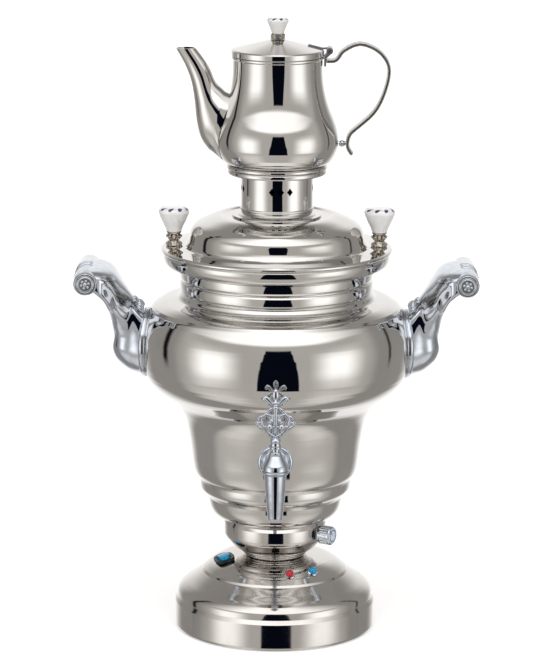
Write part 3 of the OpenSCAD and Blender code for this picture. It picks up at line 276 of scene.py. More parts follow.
@dataclass(frozen=True)
class PlatedCasting(Finish):
    """Bright plating over a die casting: a mirror with the casting's faint ripple under it."""

    slot: Slot = Slot.CASTING
    ripple_mm: float = 5.0
    ripple_depth_mm: float = 0.004
    shade: str = "#BFC6D0"
    shade_span: Point = (0.4, 0.7)
    wear: float = 0.05
    wear_mm: float = 1.4

    def dressing(self, add: Adder, place: Socket) -> Inputs:
        """Makes the casting's ripple, a slight change of tint and fine wear.

        Args:
            add: adds a node to the material's tree.
            place: the place on the object, in metres of its own frame.

        Returns:
            What feeds the Principled shader's inputs.
        """
        ripple = add("TexNoise", lumps(place, self.ripple_mm, 1.0))
        shaded = add("MapRange", ripple, *self.shade_span)
        worn = add("TexNoise", lumps(place, self.wear_mm))
        return {"Metallic": 1.0, "Base Color": add("Mix", self.tint(shaded, self.shade)),
                "Roughness": add("Math", worn, self.wear, self.roughness, operation="MULTIPLY_ADD"),
                "Normal": add("Bump", {"Height": ripple, "Distance": self.ripple_depth_mm * MM})}


@dataclass(frozen=True)
class Moulded(Finish):
    """Moulded plastic or rubber: a fine even spark-eroded grain."""

    grain_mm: float = 0.5
    grain_depth_mm: float = 0.02
    see_through: float = 0.0
    depth_of_colour: float = 0.8
    dullness: float = 0.1

    def dressing(self, add: Adder, place: Socket) -> Inputs:
        """Makes the grain and the change of gloss that comes with it.

        Args:
            add: adds a node to the material's tree.
            place: the place on the object, in metres of its own frame.

        Returns:
            What feeds the Principled shader's inputs.
        """
        grain = add("TexNoise", lumps(place, self.grain_mm))
        colours = blend(grain, linear(self.colour, self.depth_of_colour), linear(self.colour))
        return {"IOR": 1.5, "Transmission Weight": self.see_through, "Base Color": add("Mix", colours),
                "Roughness": add("Math", grain, self.dullness, self.roughness, operation="MULTIPLY_ADD"),
                "Normal": add("Bump", {"Height": grain, "Distance": self.grain_depth_mm * MM})}


@dataclass(frozen=True)
class PaintedGlaze(Finish):
    """White porcelain under a clear glaze, with cobalt dots brushed on before firing.

    The dots read the piece's UV map: u is turns round the knob, v is the way from the
    middle of its crown in millimetres.
    """

    slot: Slot = Slot.PORCELAIN
    paint: str = "#1D2A6B"
    dots: int = 9
    dot_v_mm: float = 10.2
    dot_height_mm: float = 6.4
    dot_share: float = 0.27
    dot_lean: float = 0.05
    dot_edge: Point = (1.3, 0.9)
    brush_mm: float = 1.6
    flow_mm: float = 7.0
    flow_depth_mm: float = 0.03
    flow_haze: float = 0.06

    def dressing(self, add: Adder, place: Socket) -> Inputs:
        """Makes the glaze's slow flow and the row of leaning dots.

        Args:
            add: adds a node to the material's tree.
            place: the place on the object, in metres of its own frame.

        Returns:
            What feeds the Principled shader's inputs.
        """
        turn, way = add("SeparateXYZ", add("UVMap")).outputs[:2]
        up = add("Math", way, self.dot_v_mm, operation="SUBTRACT")
        counted = add("Math", turn, self.dots, operation="MULTIPLY")
        leaning = add("Math", up, self.dot_lean, counted, operation="MULTIPLY_ADD")
        across = add("Math", add("Math", leaning, operation="FRACT"), 0.5, operation="SUBTRACT")
        reach = add("Math", add("TexNoise", lumps(place, self.brush_mm)), 0.5, operation="MULTIPLY")
        for off, half in ((across, self.dot_share), (up, self.dot_height_mm / 2)):
            square = add("Math", add("Math", off, half, operation="DIVIDE"), 2.0, operation="POWER")
            reach = add("Math", square, reach, operation="ADD")
        painted = add("MapRange", reach, *self.dot_edge)
        flow = add("TexNoise", lumps(place, self.flow_mm, 1.0))
        return {"Coat Weight": 1.0, "Coat Roughness": 0.03, "Subsurface Weight": 0.1,
                "Subsurface Radius": (2 * MM, 1.6 * MM, 1.2 * MM),
                "Base Color": add("Mix", self.tint(painted, self.paint)),
                "Roughness": add("Math", flow, self.flow_haze, self.roughness, operation="MULTIPLY_ADD"),
                "Normal": add("Bump", {"Height": flow, "Distance": self.flow_depth_mm * MM})}


@dataclass(frozen=True)
class PrintedFace(Finish):
    """Pale printed disc under lacquer: a blue ring near its edge and a pointer.

    The print reads the UV map: u is turns round the disc, v is millimetres from its middle.
    """

    slot: Slot = Slot.DIAL
    ink: str = "#2F6FB0"
    ring_mm: Point = (4.1, 5.3)
    pointer_turn: float = 0.62
    pointer_share: float = 0.035
    pointer_foot_mm: Point = (0.7, 0.9)
    edge_mm: float = 0.1
    speckle_mm: float = 0.8
    speckle: float = 0.2

    def dressing(self, add: Adder, place: Socket) -> Inputs:
        """Makes the ring, the pointer and the print's faint unevenness.

        Args:
            add: adds a node to the material's tree.
            place: the place on the object, in metres of its own frame.

        Returns:
            What feeds the Principled shader's inputs.
        """
        turn, way = add("SeparateXYZ", add("UVMap")).outputs[:2]
        low, high = self.ring_mm
        past = add("MapRange", way, low - self.edge_mm, low + self.edge_mm)
        short = add("MapRange", way, high + self.edge_mm, high - self.edge_mm)
        ring = add("Math", past, short, operation="MULTIPLY")
        aside = add("Math", add("Math", turn, self.pointer_turn, operation="SUBTRACT"), operation="ABSOLUTE")
        slim = add("MapRange", aside, self.pointer_share, self.pointer_share * 0.7)
        begun = add("MapRange", way, *self.pointer_foot_mm)
        marks = add("Math", ring, add("Math", slim, begun, operation="MULTIPLY"), operation="MAXIMUM")
        grit = add("TexNoise", lumps(place, self.speckle_mm))
        uneven = add("Math", grit, self.speckle, 1 - self.speckle, operation="MULTIPLY_ADD")
        inked = add("Math", marks, uneven, operation="MULTIPLY")
        return {"Coat Weight": 0.6, "Base Color": add("Mix", self.tint(inked, self.ink))}


@dataclass(frozen=True)
class FiredSheath(Finish):
    """Steel sheath tube that has been hot: straw to brown bands and a dry surface."""

    shade: str = "#5B4A3C"
    band_mm: float = 26.0
    band_span: Point = (0.3, 0.7)
    skin_mm: float = 1.2
    dryness: float = 0.15

    def dressing(self, add: Adder, place: Socket) -> Inputs:
        """Makes the heat tint and the dry skin.

        Args:
            add: adds a node to the material's tree.
            place: the place on the object, in metres of its own frame.

        Returns:
            What feeds the Principled shader's inputs.
        """
        heated = add("MapRange", add("TexNoise", lumps(place, self.band_mm, 3.0)), *self.band_span)
        dry = add("TexNoise", lumps(place, self.skin_mm))
        return {"Metallic": 1.0, "Base Color": add("Mix", self.tint(heated, self.shade)),
                "Roughness": add("Math", dry, self.dryness, self.roughness, operation="MULTIPLY_ADD")}


# 18/8 stainless sheet, spun and mirror buffed: warm grey, crisp reflections with a breath of haze
MIRROR_STEEL = BuffedMetal("stainless_mirror_buffed", "#D6D4D2", 0.025, shade="#CFCDCA", haze=0.025)
# The same sheet on the base, dulled by hands and wiping
HANDLED_STEEL = BuffedMetal("stainless_mirror_handled", "#D2CFCC", 0.06, shade="#C8C4C0", haze=0.06)
# The same sheet inside, as it left the spinning lathe: rings show and the reflection is soft
SPUN_STEEL = BuffedMetal("stainless_as_spun", "#C9C4BC", 0.22, shade="#B4AEA5", haze=0.12,
                         ring_depth_mm=0.006)
# Cold-rolled steel sheet, plain pressed: dull, with the rolling's even grey
PRESSED_STEEL = BuffedMetal("pressed_steel", "#A9A6A0", 0.34, shade="#8F8C86", haze=0.1, grain=Grain.NONE)
# Zinc-plated fasteners: pale blue-grey, fine dull sparkle
ZINC_PLATE = BuffedMetal("zinc_plated_steel", "#B9BDC0", 0.3, shade="#9AA0A4", haze_mm=6.0, grain=Grain.NONE)
# Turned free-cutting brass: yellow, with fine tool marks
TURNED_BRASS = BuffedMetal("turned_brass", "#D9B45C", 0.18, shade="#B98E3E", ring_mm=0.5, grain=Grain.NONE)
# Satin nickel on small flat fittings: pale and dull beside the bright castings
SATIN_NICKEL = BuffedMetal("satin_nickel_plate", "#CDCFD1", 0.34, Slot.CASTING, shade="#BFC1C3", haze=0.06,
                           grain=Grain.NONE)
# Stainless strip, bent and satin brushed: a soft, even reflection
BRUSHED_STRIP = BuffedMetal("stainless_strip_brushed", "#D2D0CD", 0.26, shade="#C2BFBB", haze=0.08,
                            grain=Grain.NONE)
# Zinc die casting under bright chromium: cooler and brighter than the steel beside it
BRIGHT_CHROME = PlatedCasting("chromium_on_casting", "#CBD1DA", 0.035)
# Plated ABS dial: as bright as the castings, a little softer
DIAL_PLATE = PlatedCasting("plated_dial_moulding", "#D3D8DE", 0.1, ripple_mm=3.0)
# Nickel on the small scroll castings, dull in their hollows
NICKEL_CASTING = PlatedCasting("nickel_on_casting", "#B5AEA4", 0.07, ripple_mm=1.5, ripple_depth_mm=0.03,
                               shade="#7F776C")
# Polyamide, injection moulded: deep black with an even soft gloss
BLACK_MOULDING = Moulded("black_polyamide", "#17181B", 0.32)
# Red-brown silicone rubber: soft dull skin
SILICONE = Moulded("silicone_rubber", "#8E3B2C", 0.55, grain_mm=0.8)
# Steatite terminal block: unglazed, chalky
STEATITE = Moulded("unglazed_steatite", "#DAD3C4", 0.62, grain_mm=0.7)
# Tinted acrylic: clear colour with light inside it
BLUE_ACRYLIC = Moulded("blue_acrylic", "#13AEEA", 0.1, grain_mm=2.5, see_through=0.12)
RED_ACRYLIC = Moulded("red_acrylic", "#DB2A3A", 0.12, grain_mm=2.5, see_through=0.12)
# Printed disc under lacquer: pale, with crisp blue marks and a soft sheen
DIAL_FACE = PrintedFace("printed_dial_face", "#DDE7EE", 0.25)
# White porcelain, glazed, with cobalt dots under the glaze: a wet gloss over soft white
GLAZE = PaintedGlaze("glazed_porcelain", "#FCFCFB", 0.08)
SMALL_GLAZE = PaintedGlaze("glazed_porcelain_small", "#FCFCFB", 0.08, dots=8, dot_v_mm=7.0, dot_height_mm=4.6)
# Steel sheath of the heating element, tinted by its own heat: dull, straw to brown
HOT_SHEATH = FiredSheath("heat_tinted_sheath", "#8A7B6A", 0.4)


# --- Studio ---------------------------------------------------------------


@dataclass(frozen=True)
class Card:
    """A panel of the studio, by the directions that it fills, in degrees.

    Azimuth 0 is the camera's side and 90 is to the right. A mirrored card stands on
    both sides. Its upright and its level edges fade over their own angles, and flare is
    how much wider it gets per degree below the horizon.
    """

    colour: str
    strength: float
    azimuth: float
    half_width: float
    low: float
    high: float
    side_fade: float = 2.0
    level_fade: float = 2.0
    flare: float = 0.0
    mirrored: bool = False


STUDIO_CARDS = (
    # White sweep behind the object
    Card("#FFFEFC", 1.1, 180, 30, -90, 34, side_fade=16, level_fade=10, mirrored=True),
    # Grey room on the camera's side
    Card("#CDC9C4", 0.94, 0, 92, -91, 91, side_fade=9),
    # Light that the floor gives back beside the soft boxes
    Card("#FFFCF6", 0.9, 60, 22, -70, -34, side_fade=16, level_fade=10, mirrored=True),
    # Soft boxes to the left and right of the camera
    Card("#FFFEFC", 1.6, 56, 17, -22, 12, side_fade=13, level_fade=9, mirrored=True),
    # Overhead panel: even over the camera, fading to its sides
    Card("#FFFEFD", 1.62, 0, 66, 26, 91, side_fade=32, level_fade=2.5),
    # Dark gaps between the room's walls and the sweep
    Card("#15161B", 1.0, -108, 3.2, -14, 44, side_fade=2.2, level_fade=5),
    Card("#15161B", 1.0, 113, 1.6, -14, 44, side_fade=2.2, level_fade=5),
    # Black card round the camera
    Card("#080C18", 1.0, 2, 14.5, -31, 21, side_fade=0.6, level_fade=0.8, flare=0.16),
)


@dataclass
class Studio:
    """Pale floor, soft panels and the camera."""

    wall: str = "#A19E9B"
    floor_half: float = 15.0
    floor_glow: float = 0.42
    # Paper fibres, drawn coarser than they are, to show
    paper: str = "#FBFBFB"
    fibre: str = "#E8E8E8"
    fibre_mm: float = 3.0
    fibre_tint: float = 0.02
    camera_place: tuple[float, ...] = (0.0, -2.790, 0.861)
    camera_pitch: float = 12.4
    camera_turn: float = -0.04
    camera_roll: float = 0.35
    frame_height: float = 665.0
    focal_pixels: float = 3488.0
    sensor_mm: float = 36.0

    def build(self) -> None:
        """Makes the world, the floor and the camera."""
        self.world()
        self.floor()
        self.camera()
        bpy.context.scene.view_settings.view_transform = "Standard"

    def directions(self, add: Adder) -> list[Node]:
        """Gives a ray's azimuth from the camera's side and its elevation, in degrees.

        Args:
            add: adds a node to the world's tree.

        Returns:
            The nodes of azimuth and elevation.
        """
        right, back, up = add("SeparateXYZ", add("TexCoord").outputs["Generated"]).outputs
        forward = add("Math", back, -1.0, operation="MULTIPLY")
        angles = add("Math", right, forward, operation="ARCTAN2"), add("Math", up, operation="ARCSINE")
        return [add("Math", angle, operation="DEGREES") for angle in angles]

    def card_share(self, add: Adder, card: Card, azimuth: Node, elevation: Node) -> Node:
        """Gives how far a ray falls on a card, from 0 to 1.

        Args:
            add: adds a node to the world's tree.
            card: the card.
            azimuth: the ray's azimuth.
            elevation: the ray's elevation.

        Returns:
            The share's node.
        """
        turn = add("Math", azimuth, operation="ABSOLUTE") if card.mirrored else azimuth
        off = add("Math", add("Math", turn, card.azimuth, operation="SUBTRACT"), operation="ABSOLUTE")
        if card.flare:
            off = add("Math", elevation, card.flare, off, operation="MULTIPLY_ADD")
        share: Source = 1.0
        for value, edge, fade in ((off, card.half_width, -card.side_fade),
                                  (elevation, card.low, card.level_fade),
                                  (elevation, card.high, -card.level_fade)):
            inside = add("MapRange", value, edge - fade, edge + fade)
            share = add("Math", share, inside, operation="MULTIPLY")
        return share

    def world(self) -> None:
        """Makes the panels round the object, and plain white for the camera's own rays."""
        world = bpy.data.worlds.new("studio")
        bpy.context.scene.world = world
        world.use_nodes = True
        tree = world.node_tree
        add = partial(add_node, tree)
        azimuth, elevation = self.directions(add)
        colour: Source = linear(self.wall)
        for card in STUDIO_CARDS:
            share = self.card_share(add, card, azimuth, elevation)
            colour = add("Mix", blend(share, colour, linear(card.colour, card.strength)))
        seen = add("LightPath").outputs["Is Camera Ray"]
        colour = add("Mix", blend(seen, colour, linear("#FFFFFF")))
        feed(tree, tree.nodes["Background"], {"Color": colour})

    def floor(self) -> None:
        """Makes the pale floor that carries the shadow: reflections look through it at the panels."""
        half = self.floor_half
        mesh = bpy.data.meshes.new("floor")
        corners = [(-half, -half, 0), (half, -half, 0), (half, half, 0), (-half, half, 0)]
        mesh.from_pydata(corners, [], [(0, 1, 2, 3)])
        floor = bpy.data.objects.new("floor", mesh)
        bpy.context.scene.collection.objects.link(floor)
        paper = bpy.data.materials.new("white_paper_floor")
        paper.use_nodes = True
        mesh.materials.append(paper)
        tree = paper.node_tree
        tree.nodes.remove(tree.nodes["Principled BSDF"])
        add = partial(add_node, tree)
        fibres = add("TexNoise", lumps(add("TexCoord").outputs["Object"], self.fibre_mm))
        faint = add("Math", fibres, self.fibre_tint, operation="MULTIPLY")
        matt = add("BsdfDiffuse", add("Mix", blend(faint, linear(self.paper), linear(self.fibre))))
        glow = add("Emission", linear("#FFFFFF"), self.floor_glow)
        path = add("LightPath").outputs
        bounce = add("Math", path["Is Glossy Ray"], path["Is Transmission Ray"], operation="MAXIMUM")
        other = add("MixShader", bounce, matt, add("BsdfTransparent"))
        seen = add("MixShader", path["Is Camera Ray"], other, add("AddShader", matt, glow))
        feed(tree, tree.nodes["Material Output"], {"Surface": seen})

    def camera(self) -> None:
        """Makes the camera: a long lens, a little above the object and looking down at it."""
        data = bpy.data.cameras.new("camera")
        data.lens = self.focal_pixels * self.sensor_mm / self.frame_height
        data.sensor_width = self.sensor_mm
        camera = bpy.data.objects.new("camera", data)
        bpy.context.scene.collection.objects.link(camera)
        bpy.context.scene.camera = camera
        turns = ((self.camera_turn, "Z"), (90 - self.camera_pitch, "X"), (self.camera_roll, "Z"))
        aim = Matrix.Translation(self.camera_place)
        for angle, axis in turns:
            aim @= Matrix.Rotation(math.radians(angle), 4, axis)
        camera.matrix_world = aim


# --- Pieces from the frame's nodes ----------------------------------------


CREASE = math.radians(28)


def crease_group() -> Tree:
    """Gives the geometry group that shades faces smooth and keeps edges over the crease angle crisp.

    Returns:
        The group, made on first use.
    """
    found = bpy.data.node_groups.get("shade_by_angle")
    if found is not None:
        return found
    group = bpy.data.node_groups.new("shade_by_angle", "GeometryNodeTree")
    for way in ("INPUT", "OUTPUT"):
        group.interface.new_socket("Geometry", in_out=way, socket_type="NodeSocketGeometry")
    add = partial(add_node, group)
    start = add("NodeGroupInput").outputs["Geometry"]
    smooth = add("GeometryNodeSetShadeSmooth", {"Geometry": start}, domain="FACE")
    angle = add("GeometryNodeInputMeshEdgeAngle").outputs["Unsigned Angle"]
    sharp = add("FunctionNodeCompare", angle, CREASE, operation="GREATER_THAN")
    crisp = {"Geometry": smooth, "Selection": sharp, "Shade Smooth": False}
    add("NodeGroupOutput", add("GeometryNodeSetShadeSmooth", crisp, domain="EDGE"))
    return group


def dressed(node: str, finish: Finish) -> bpy.types.Object:
    """Gives a node its finish and welds its facets.

    Args:
        node: the node's name.
        finish: its finish.

    Returns:
        The node's object.
    """
    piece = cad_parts[node]
    piece.data.materials.clear()
    piece.data.materials.append(finish.material())
    if "custom_normal" in piece.data.attributes:
        piece.data.attributes.remove(piece.data.attributes["custom_normal"])
    piece.modifiers.new("weld", "WELD").merge_threshold = WELD
    LOG.info("dressed %s in %s", node, finish.name)
    return piece


def smooth_nodes(finish: Finish, *nodes: str, soften_mm: float = 0.0) -> None:
    """Dresses nodes, shades them smooth up to a crease, and eases their edges.

    Args:
        finish: their finish.
        *nodes: the nodes' names.
        soften_mm: the radius of the eased edges, or 0 for none.
    """
    for node in nodes:
        piece = dressed(node, finish)
        if soften_mm:
            ease = piece.modifiers.new("eased edges", "BEVEL")
            ease.width = soften_mm * MM
            ease.segments = 2
            ease.angle_limit = CREASE
        piece.modifiers.new("shading", "NODES").node_group = crease_group()


def tumbled_node(finish: Finish, node: str, grid_mm: float, passes: int) -> None:
    """Dresses a node whose edges tumbling has rounded all over.

    Args:
        finish: its finish.
        node: the node's name.
        grid_mm: how fine its surface is rebuilt.
        passes: how many passes of smoothing it gets.
    """
    piece = dressed(node, finish)
    rebuilt = piece.modifiers.new("even surface", "REMESH")
    rebuilt.mode = "VOXEL"
    rebuilt.voxel_size = grid_mm * MM
    rebuilt.use_smooth_shade = True
    rounded = piece.modifiers.new("tumbled", "SMOOTH")
    rounded.factor = 0.5
    rounded.iterations = passes


def new_piece(name: str, mesh: Mesh, finish: Finish, body: Body, *nodes: str) -> None:
    """Turns finished mesh data into a piece of the object.

    Args:
        name: the piece's name.
        mesh: its geometry, which is freed.
        finish: its finish.
        body: the body that it rides on.
        *nodes: the nodes that it replaces.
    """
    data = bpy.data.meshes.new(name)
    bmesh.ops.recalc_face_normals(mesh, faces=mesh.faces)
    mesh.to_mesh(data)
    mesh.free()
    data.materials.append(finish.material())
    data.shade_smooth()
    piece = bpy.data.objects.new(name, data)
    bpy.context.scene.collection.objects.link(piece)
    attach(piece, body.value)
    if nodes:
        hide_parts(*nodes)
    LOG.info("made %s, %d faces, in %s", name, len(data.polygons), finish.name)


# --- Outlines -------------------------------------------------------------


# How thick the cutting plane is, how close two points of a cut are one, and the shortest step
# that an outline keeps, in metres; the largest turn that still counts as straight, in degrees
CUT_THICKNESS = 1e-7
CUT_SLACK = 1e-6
SHORTEST = 1e-5
STRAIGHT = 0.25


def turn_of(before: Point, here: Point, after: Point) -> float:
    """Gives the angle, in degrees and without sign, by which an outline turns at a point.

    Args:
        before: the point before it.
        here: the point.
        after: the point after it.

    Returns:
        The angle, 0 where the outline goes straight on.
    """
    first, second = Vector(here) - Vector(before), Vector(after) - Vector(here)
    return math.degrees(first.angle(second)) if min(first.length, second.length) > SAME_PLACE else 0.0


def cut_chains(edges: Sequence[bmesh.types.BMEdge], along: Vector) -> list[list[Point]]:
    """Joins cut edges into chains of (radius, height).

    Args:
        edges: the cut's edges on the wanted side of the axis.
        along: the outward direction of the cut.

    Returns:
        The chains, in metres. A closed chain ends where it starts.
    """
    links: dict[Vert, list[Vert]] = {}
    for edge in edges:
        for first, second in (edge.verts, reversed(edge.verts)):
            links.setdefault(first, []).append(second)
    chains = []
    while links:
        ends = [vert for vert, near in links.items() if len(near) == 1]
        here = ends[0] if ends else next(iter(links))
        chain = [here]
        while links.get(here):
            after = links[here].pop()
            links[after].remove(here)
            chain.append(after)
            if not links[here]:
                del links[here]
            here = after
        links.pop(here, None)
        links = {vert: near for vert, near in links.items() if near}
        chains.append([(vert.co.dot(along), vert.co.z) for vert in chain])
    return chains


def node_outline(node: str, heading: float, centre: Point = (0.0, 0.0)) -> list[Point]:
    """Reads a turned node's outline from its own mesh, cut by the half plane at a heading.

    Args:
        node: the node's name.
        heading: where to cut, in degrees from +X, clear of holes.
        centre: where the node's upright axis stands.

    Returns:
        The longest chain of (radius, height), without points that lie on a straight line.
    """
    along = Vector((math.cos(math.radians(heading)), math.sin(math.radians(heading)), 0))
    mesh = bmesh.new()
    mesh.from_mesh(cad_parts[node].data)
    bmesh.ops.remove_doubles(mesh, verts=mesh.verts, dist=WELD)
    bmesh.ops.translate(mesh, verts=mesh.verts, vec=(-centre[0], -centre[1], 0))
    cut = bmesh.ops.bisect_plane(mesh, geom=[*mesh.verts, *mesh.edges, *mesh.faces],
                                 dist=CUT_THICKNESS, plane_co=(0, 0, 0), plane_no=along.cross(UP))
    edges = [part for part in cut["geom_cut"] if isinstance(part, bmesh.types.BMEdge)
             and min(vert.co.dot(along) for vert in part.verts) > -CUT_SLACK]
    chain = max(cut_chains(edges, along), key=len)
    mesh.free()
    closed = math.dist(chain[0], chain[-1]) < CUT_SLACK
    if closed:
        chain = chain[:-1]
    kept = []
    for k, here in enumerate(chain):
        before, after = chain[k - 1], chain[(k + 1) % len(chain)]
        end = not closed and k in (0, len(chain) - 1)
        if end or (math.dist(before, here) > SHORTEST and turn_of(before, here, after) > STRAIGHT):
            kept.append(here)
    return kept + [kept[0]] if closed else kept


def joined_outline(nodes: Sequence[str], heading: float) -> list[Point]:
    """Reads the outline of shells that are welded edge to edge, without the seams between them.

    Args:
        nodes: the shells, from the lowest up.
        heading: where to cut, in degrees from +X.

    Returns:
        One closed outline of (radius, height).
    """
    loops = [node_outline(node, heading)[:-1] for node in nodes]
    seams = [max(height for _, height in loop) for loop in loops[:-1]]
    paths: list[list[Point]] = []
    for loop in loops:
        at_seam = [min(abs(height - seam) for seam in seams) < SHORTEST for _, height in loop]
        cut = next(k for k in range(len(loop)) if at_seam[k - 1] and at_seam[k])
        path = [loop[cut]]
        for k in range(cut + 1, cut + len(loop) + 1):
            here, before = k % len(loop), (k - 1) % len(loop)
            if at_seam[here] and at_seam[before]:
                paths.append(path)
                path = []
            path.append(loop[here])
    outline = paths.pop(0)
    while paths:
        end = outline[-1]
        near = min(paths, key=lambda path: min(math.dist(end, path[0]), math.dist(end, path[-1])))
        paths.remove(near)
        outline += (near if math.dist(end, near[0]) < math.dist(end, near[-1]) else near[::-1])[1:]
    return outline[:-1] + [outline[0]]


@dataclass(frozen=True)
class Easing:
    """How an outline is refined before it is turned.

    A point that turns by more than the corner's angle is rounded, over no more than a share of
    the runs beside it. A curve gets a step for each step angle. Angles are in degrees.
    """

    corner: float = 20.0
    radius_mm: float = 0.35
    corner_steps: int = 3
    step_angle: float = 3.0
    most_steps: int = 6
    longest_share: float = 0.4


SOFT_EDGES = Easing()
BROAD_EDGES = Easing(radius_mm=0.7, corner_steps=4)


def eased(outline: Line, rule: Easing = SOFT_EDGES) -> list[Point]:
    """Rounds an outline's corners and makes its curves finer.

    Args:
        outline: points of (radius, height). It is closed if it ends where it starts.
        rule: what counts as a corner, and how fine to go.

    Returns:
        The refined outline, closed if the first one was.
    """
    closed = math.dist(outline[0], outline[-1]) < SAME_PLACE
    points = [Vector(point) for point in (outline[:-1] if closed else outline)]
    spots: list[Vector] = []
    for k, here in enumerate(points):
        before, after = points[k - 1], points[(k + 1) % len(points)]
        end = not closed and k in (0, len(points) - 1)
        turn = 0.0 if end else turn_of(before, here, after)
        if turn <= rule.corner:
            spots.append(here)
            continue
        first, second = before - here, after - here
        reach = math.tan(math.radians(turn) / 2) * rule.radius_mm * MM
        reach = min(reach, rule.longest_share * first.length, rule.longest_share * second.length)
        start, finish = here + first.normalized() * reach, here + second.normalized() * reach
        for step in range(rule.corner_steps + 1):
            t = step / rule.corner_steps
            spots.append(start.lerp(here, t).lerp(here.lerp(finish, t), t))
    return refined(spots, closed, rule)


def refined(spots: Sequence[Vector], closed: bool, rule: Easing) -> list[Point]:
    """Adds points between those of an outline, along smooth curves that keep straight runs straight.

    Args:
        spots: the outline's points.
        closed: whether the outline closes on itself.
        rule: how fine to go.

    Returns:
        The finer outline, closed if it was.
    """
    count = len(spots)
    tangents = []
    for k, here in enumerate(spots):
        first = here - spots[k - 1] if closed or k else spots[1] - here
        second = spots[(k + 1) % count] - here if closed or k < count - 1 else first
        tangents.append((first + second).normalized())
    result: list[Point] = []
    for k in range(count if closed else count - 1):
        here, after = spots[k], spots[(k + 1) % count]
        leaving, meeting = tangents[k], tangents[(k + 1) % count]
        turn = math.degrees(leaving.angle(meeting, 0.0))
        steps = max(1, min(rule.most_steps, math.ceil(turn / rule.step_angle)))
        pull = (after - here).length / 3
        first, second = here + leaving * pull, after - meeting * pull
        for t in (step / steps for step in range(steps)):
            spot = (here * (1 - t) ** 3 + first * (3 * t * (1 - t) ** 2) + second * (3 * t * t * (1 - t))
                    + after * t ** 3)
            result.append((spot.x, spot.y))
    result.append(result[0] if closed else (spots[-1].x, spots[-1].y))
    return result


def dense(outline: Line, step: float) -> list[Point]:
    """Adds points to an outline's straight runs, at most a step apart.

    Args:
        outline: points of (radius, height).
        step: the longest distance between two of the result's points.

    Returns:
        The denser outline.
    """
    points = [outline[0]]
    for before, after in zip(outline, outline[1:]):
        count = math.ceil(math.dist(before, after) / step)
        along = [(after[axis] - before[axis]) / count for axis in (0, 1)]
        points += [(before[0] + along[0] * k, before[1] + along[1] * k) for k in range(1, count)] + [after]
    return points


def reach_of(outline: Line, height: float) -> float:
    """Gives an outline's largest radius at a height, all in metres."""
    return max(a[0] + (b[0] - a[0]) * (height - a[1]) / (b[1] - a[1]) for a, b in zip(outline, outline[1:])
               if a[1] != b[1] and min(a[1], b[1]) <= height <= max(a[1], b[1]))


# --- Paths ----------------------------------------------------------------


def around(count: int, start: float = 0.0) -> list[Point]:
    """Gives the cosine and sine of even steps round a circle, from a start in steps."""
    angles = [math.tau * (k + start) / count for k in range(count)]
    return [(math.cos(angle), math.sin(angle)) for angle in angles]


def circle_path(centre: Vector, axis: Vector, radius: float, count: int = 40) -> list[Vector]:
    """Gives points on a circle.

    Args:
        centre: the circle's middle.
        axis: the direction it turns about.
        radius: its radius.
        count: how many points.

    Returns:
        The points, in order.
    """
    first = axis.orthogonal().normalized()
    second = axis.normalized().cross(first)
    return [centre + (first * c + second * s) * radius for c, s in around(count)]


def bent(points: Sequence[Sequence[float]], steps: int = 6) -> list[Vector]:
    """Gives a smooth path through points.

    Args:
        points: the points. Points of two numbers get a third of 0.
        steps: how many steps go between each two.

    Returns:
        The finer path.
    """
    spots = [Vector((*point, 0)[:3]) for point in points]
    ends = [spots[0], *spots, spots[-1]]
    path = []
    for a, b, c, d in zip(ends, ends[1:], ends[2:], ends[3:]):
        for t in (step / steps for step in range(steps)):
            path.append(0.5 * (2 * b + (c - a) * t + (2 * a - 5 * b + 4 * c - d) * t * t
                               + (3 * b - a - 3 * c + d) * t ** 3))
    return path + [spots[-1]]


def between(path: Sequence[Vector], value: float) -> float:
    """Reads a curve whose points' x rises.

    Args:
        path: the curve's points.
        value: where on x to read it.

    Returns:
        The curve's y there, or its end's y beyond it.
    """
    for before, after in zip(path, path[1:]):
        if value <= after.x:
            return before.y + (after.y - before.y) * max(value - before.x, 0.0) / (after.x - before.x)
    return path[-1].y


def dip(value: float, middle: float, spread: float) -> float:
    """Gives 1 at the middle and a smooth fall to 0 on both sides."""
    return math.exp(-((value - middle) / spread) ** 2)


def at_share(path: Sequence[Vector], share: float) -> Vector:
    """Gives the point at a share of a path's length.

    Args:
        path: the path's points.
        share: how far along, from 0 to 1.

    Returns:
        The point.
    """
    left = share * sum((after - before).length for before, after in zip(path, path[1:]))
    for before, after in zip(path, path[1:]):
        step = (after - before).length
        if left <= step:
            return before.lerp(after, left / step)
        left -= step
    return path[-1].copy()


# --- Meshes ---------------------------------------------------------------


ROUND_STEPS = 168
WIRE_SIDES = 12
KNOB_STEPS = 72
HUB_STEPS = 48
BALL_STEPS = (20, 12)


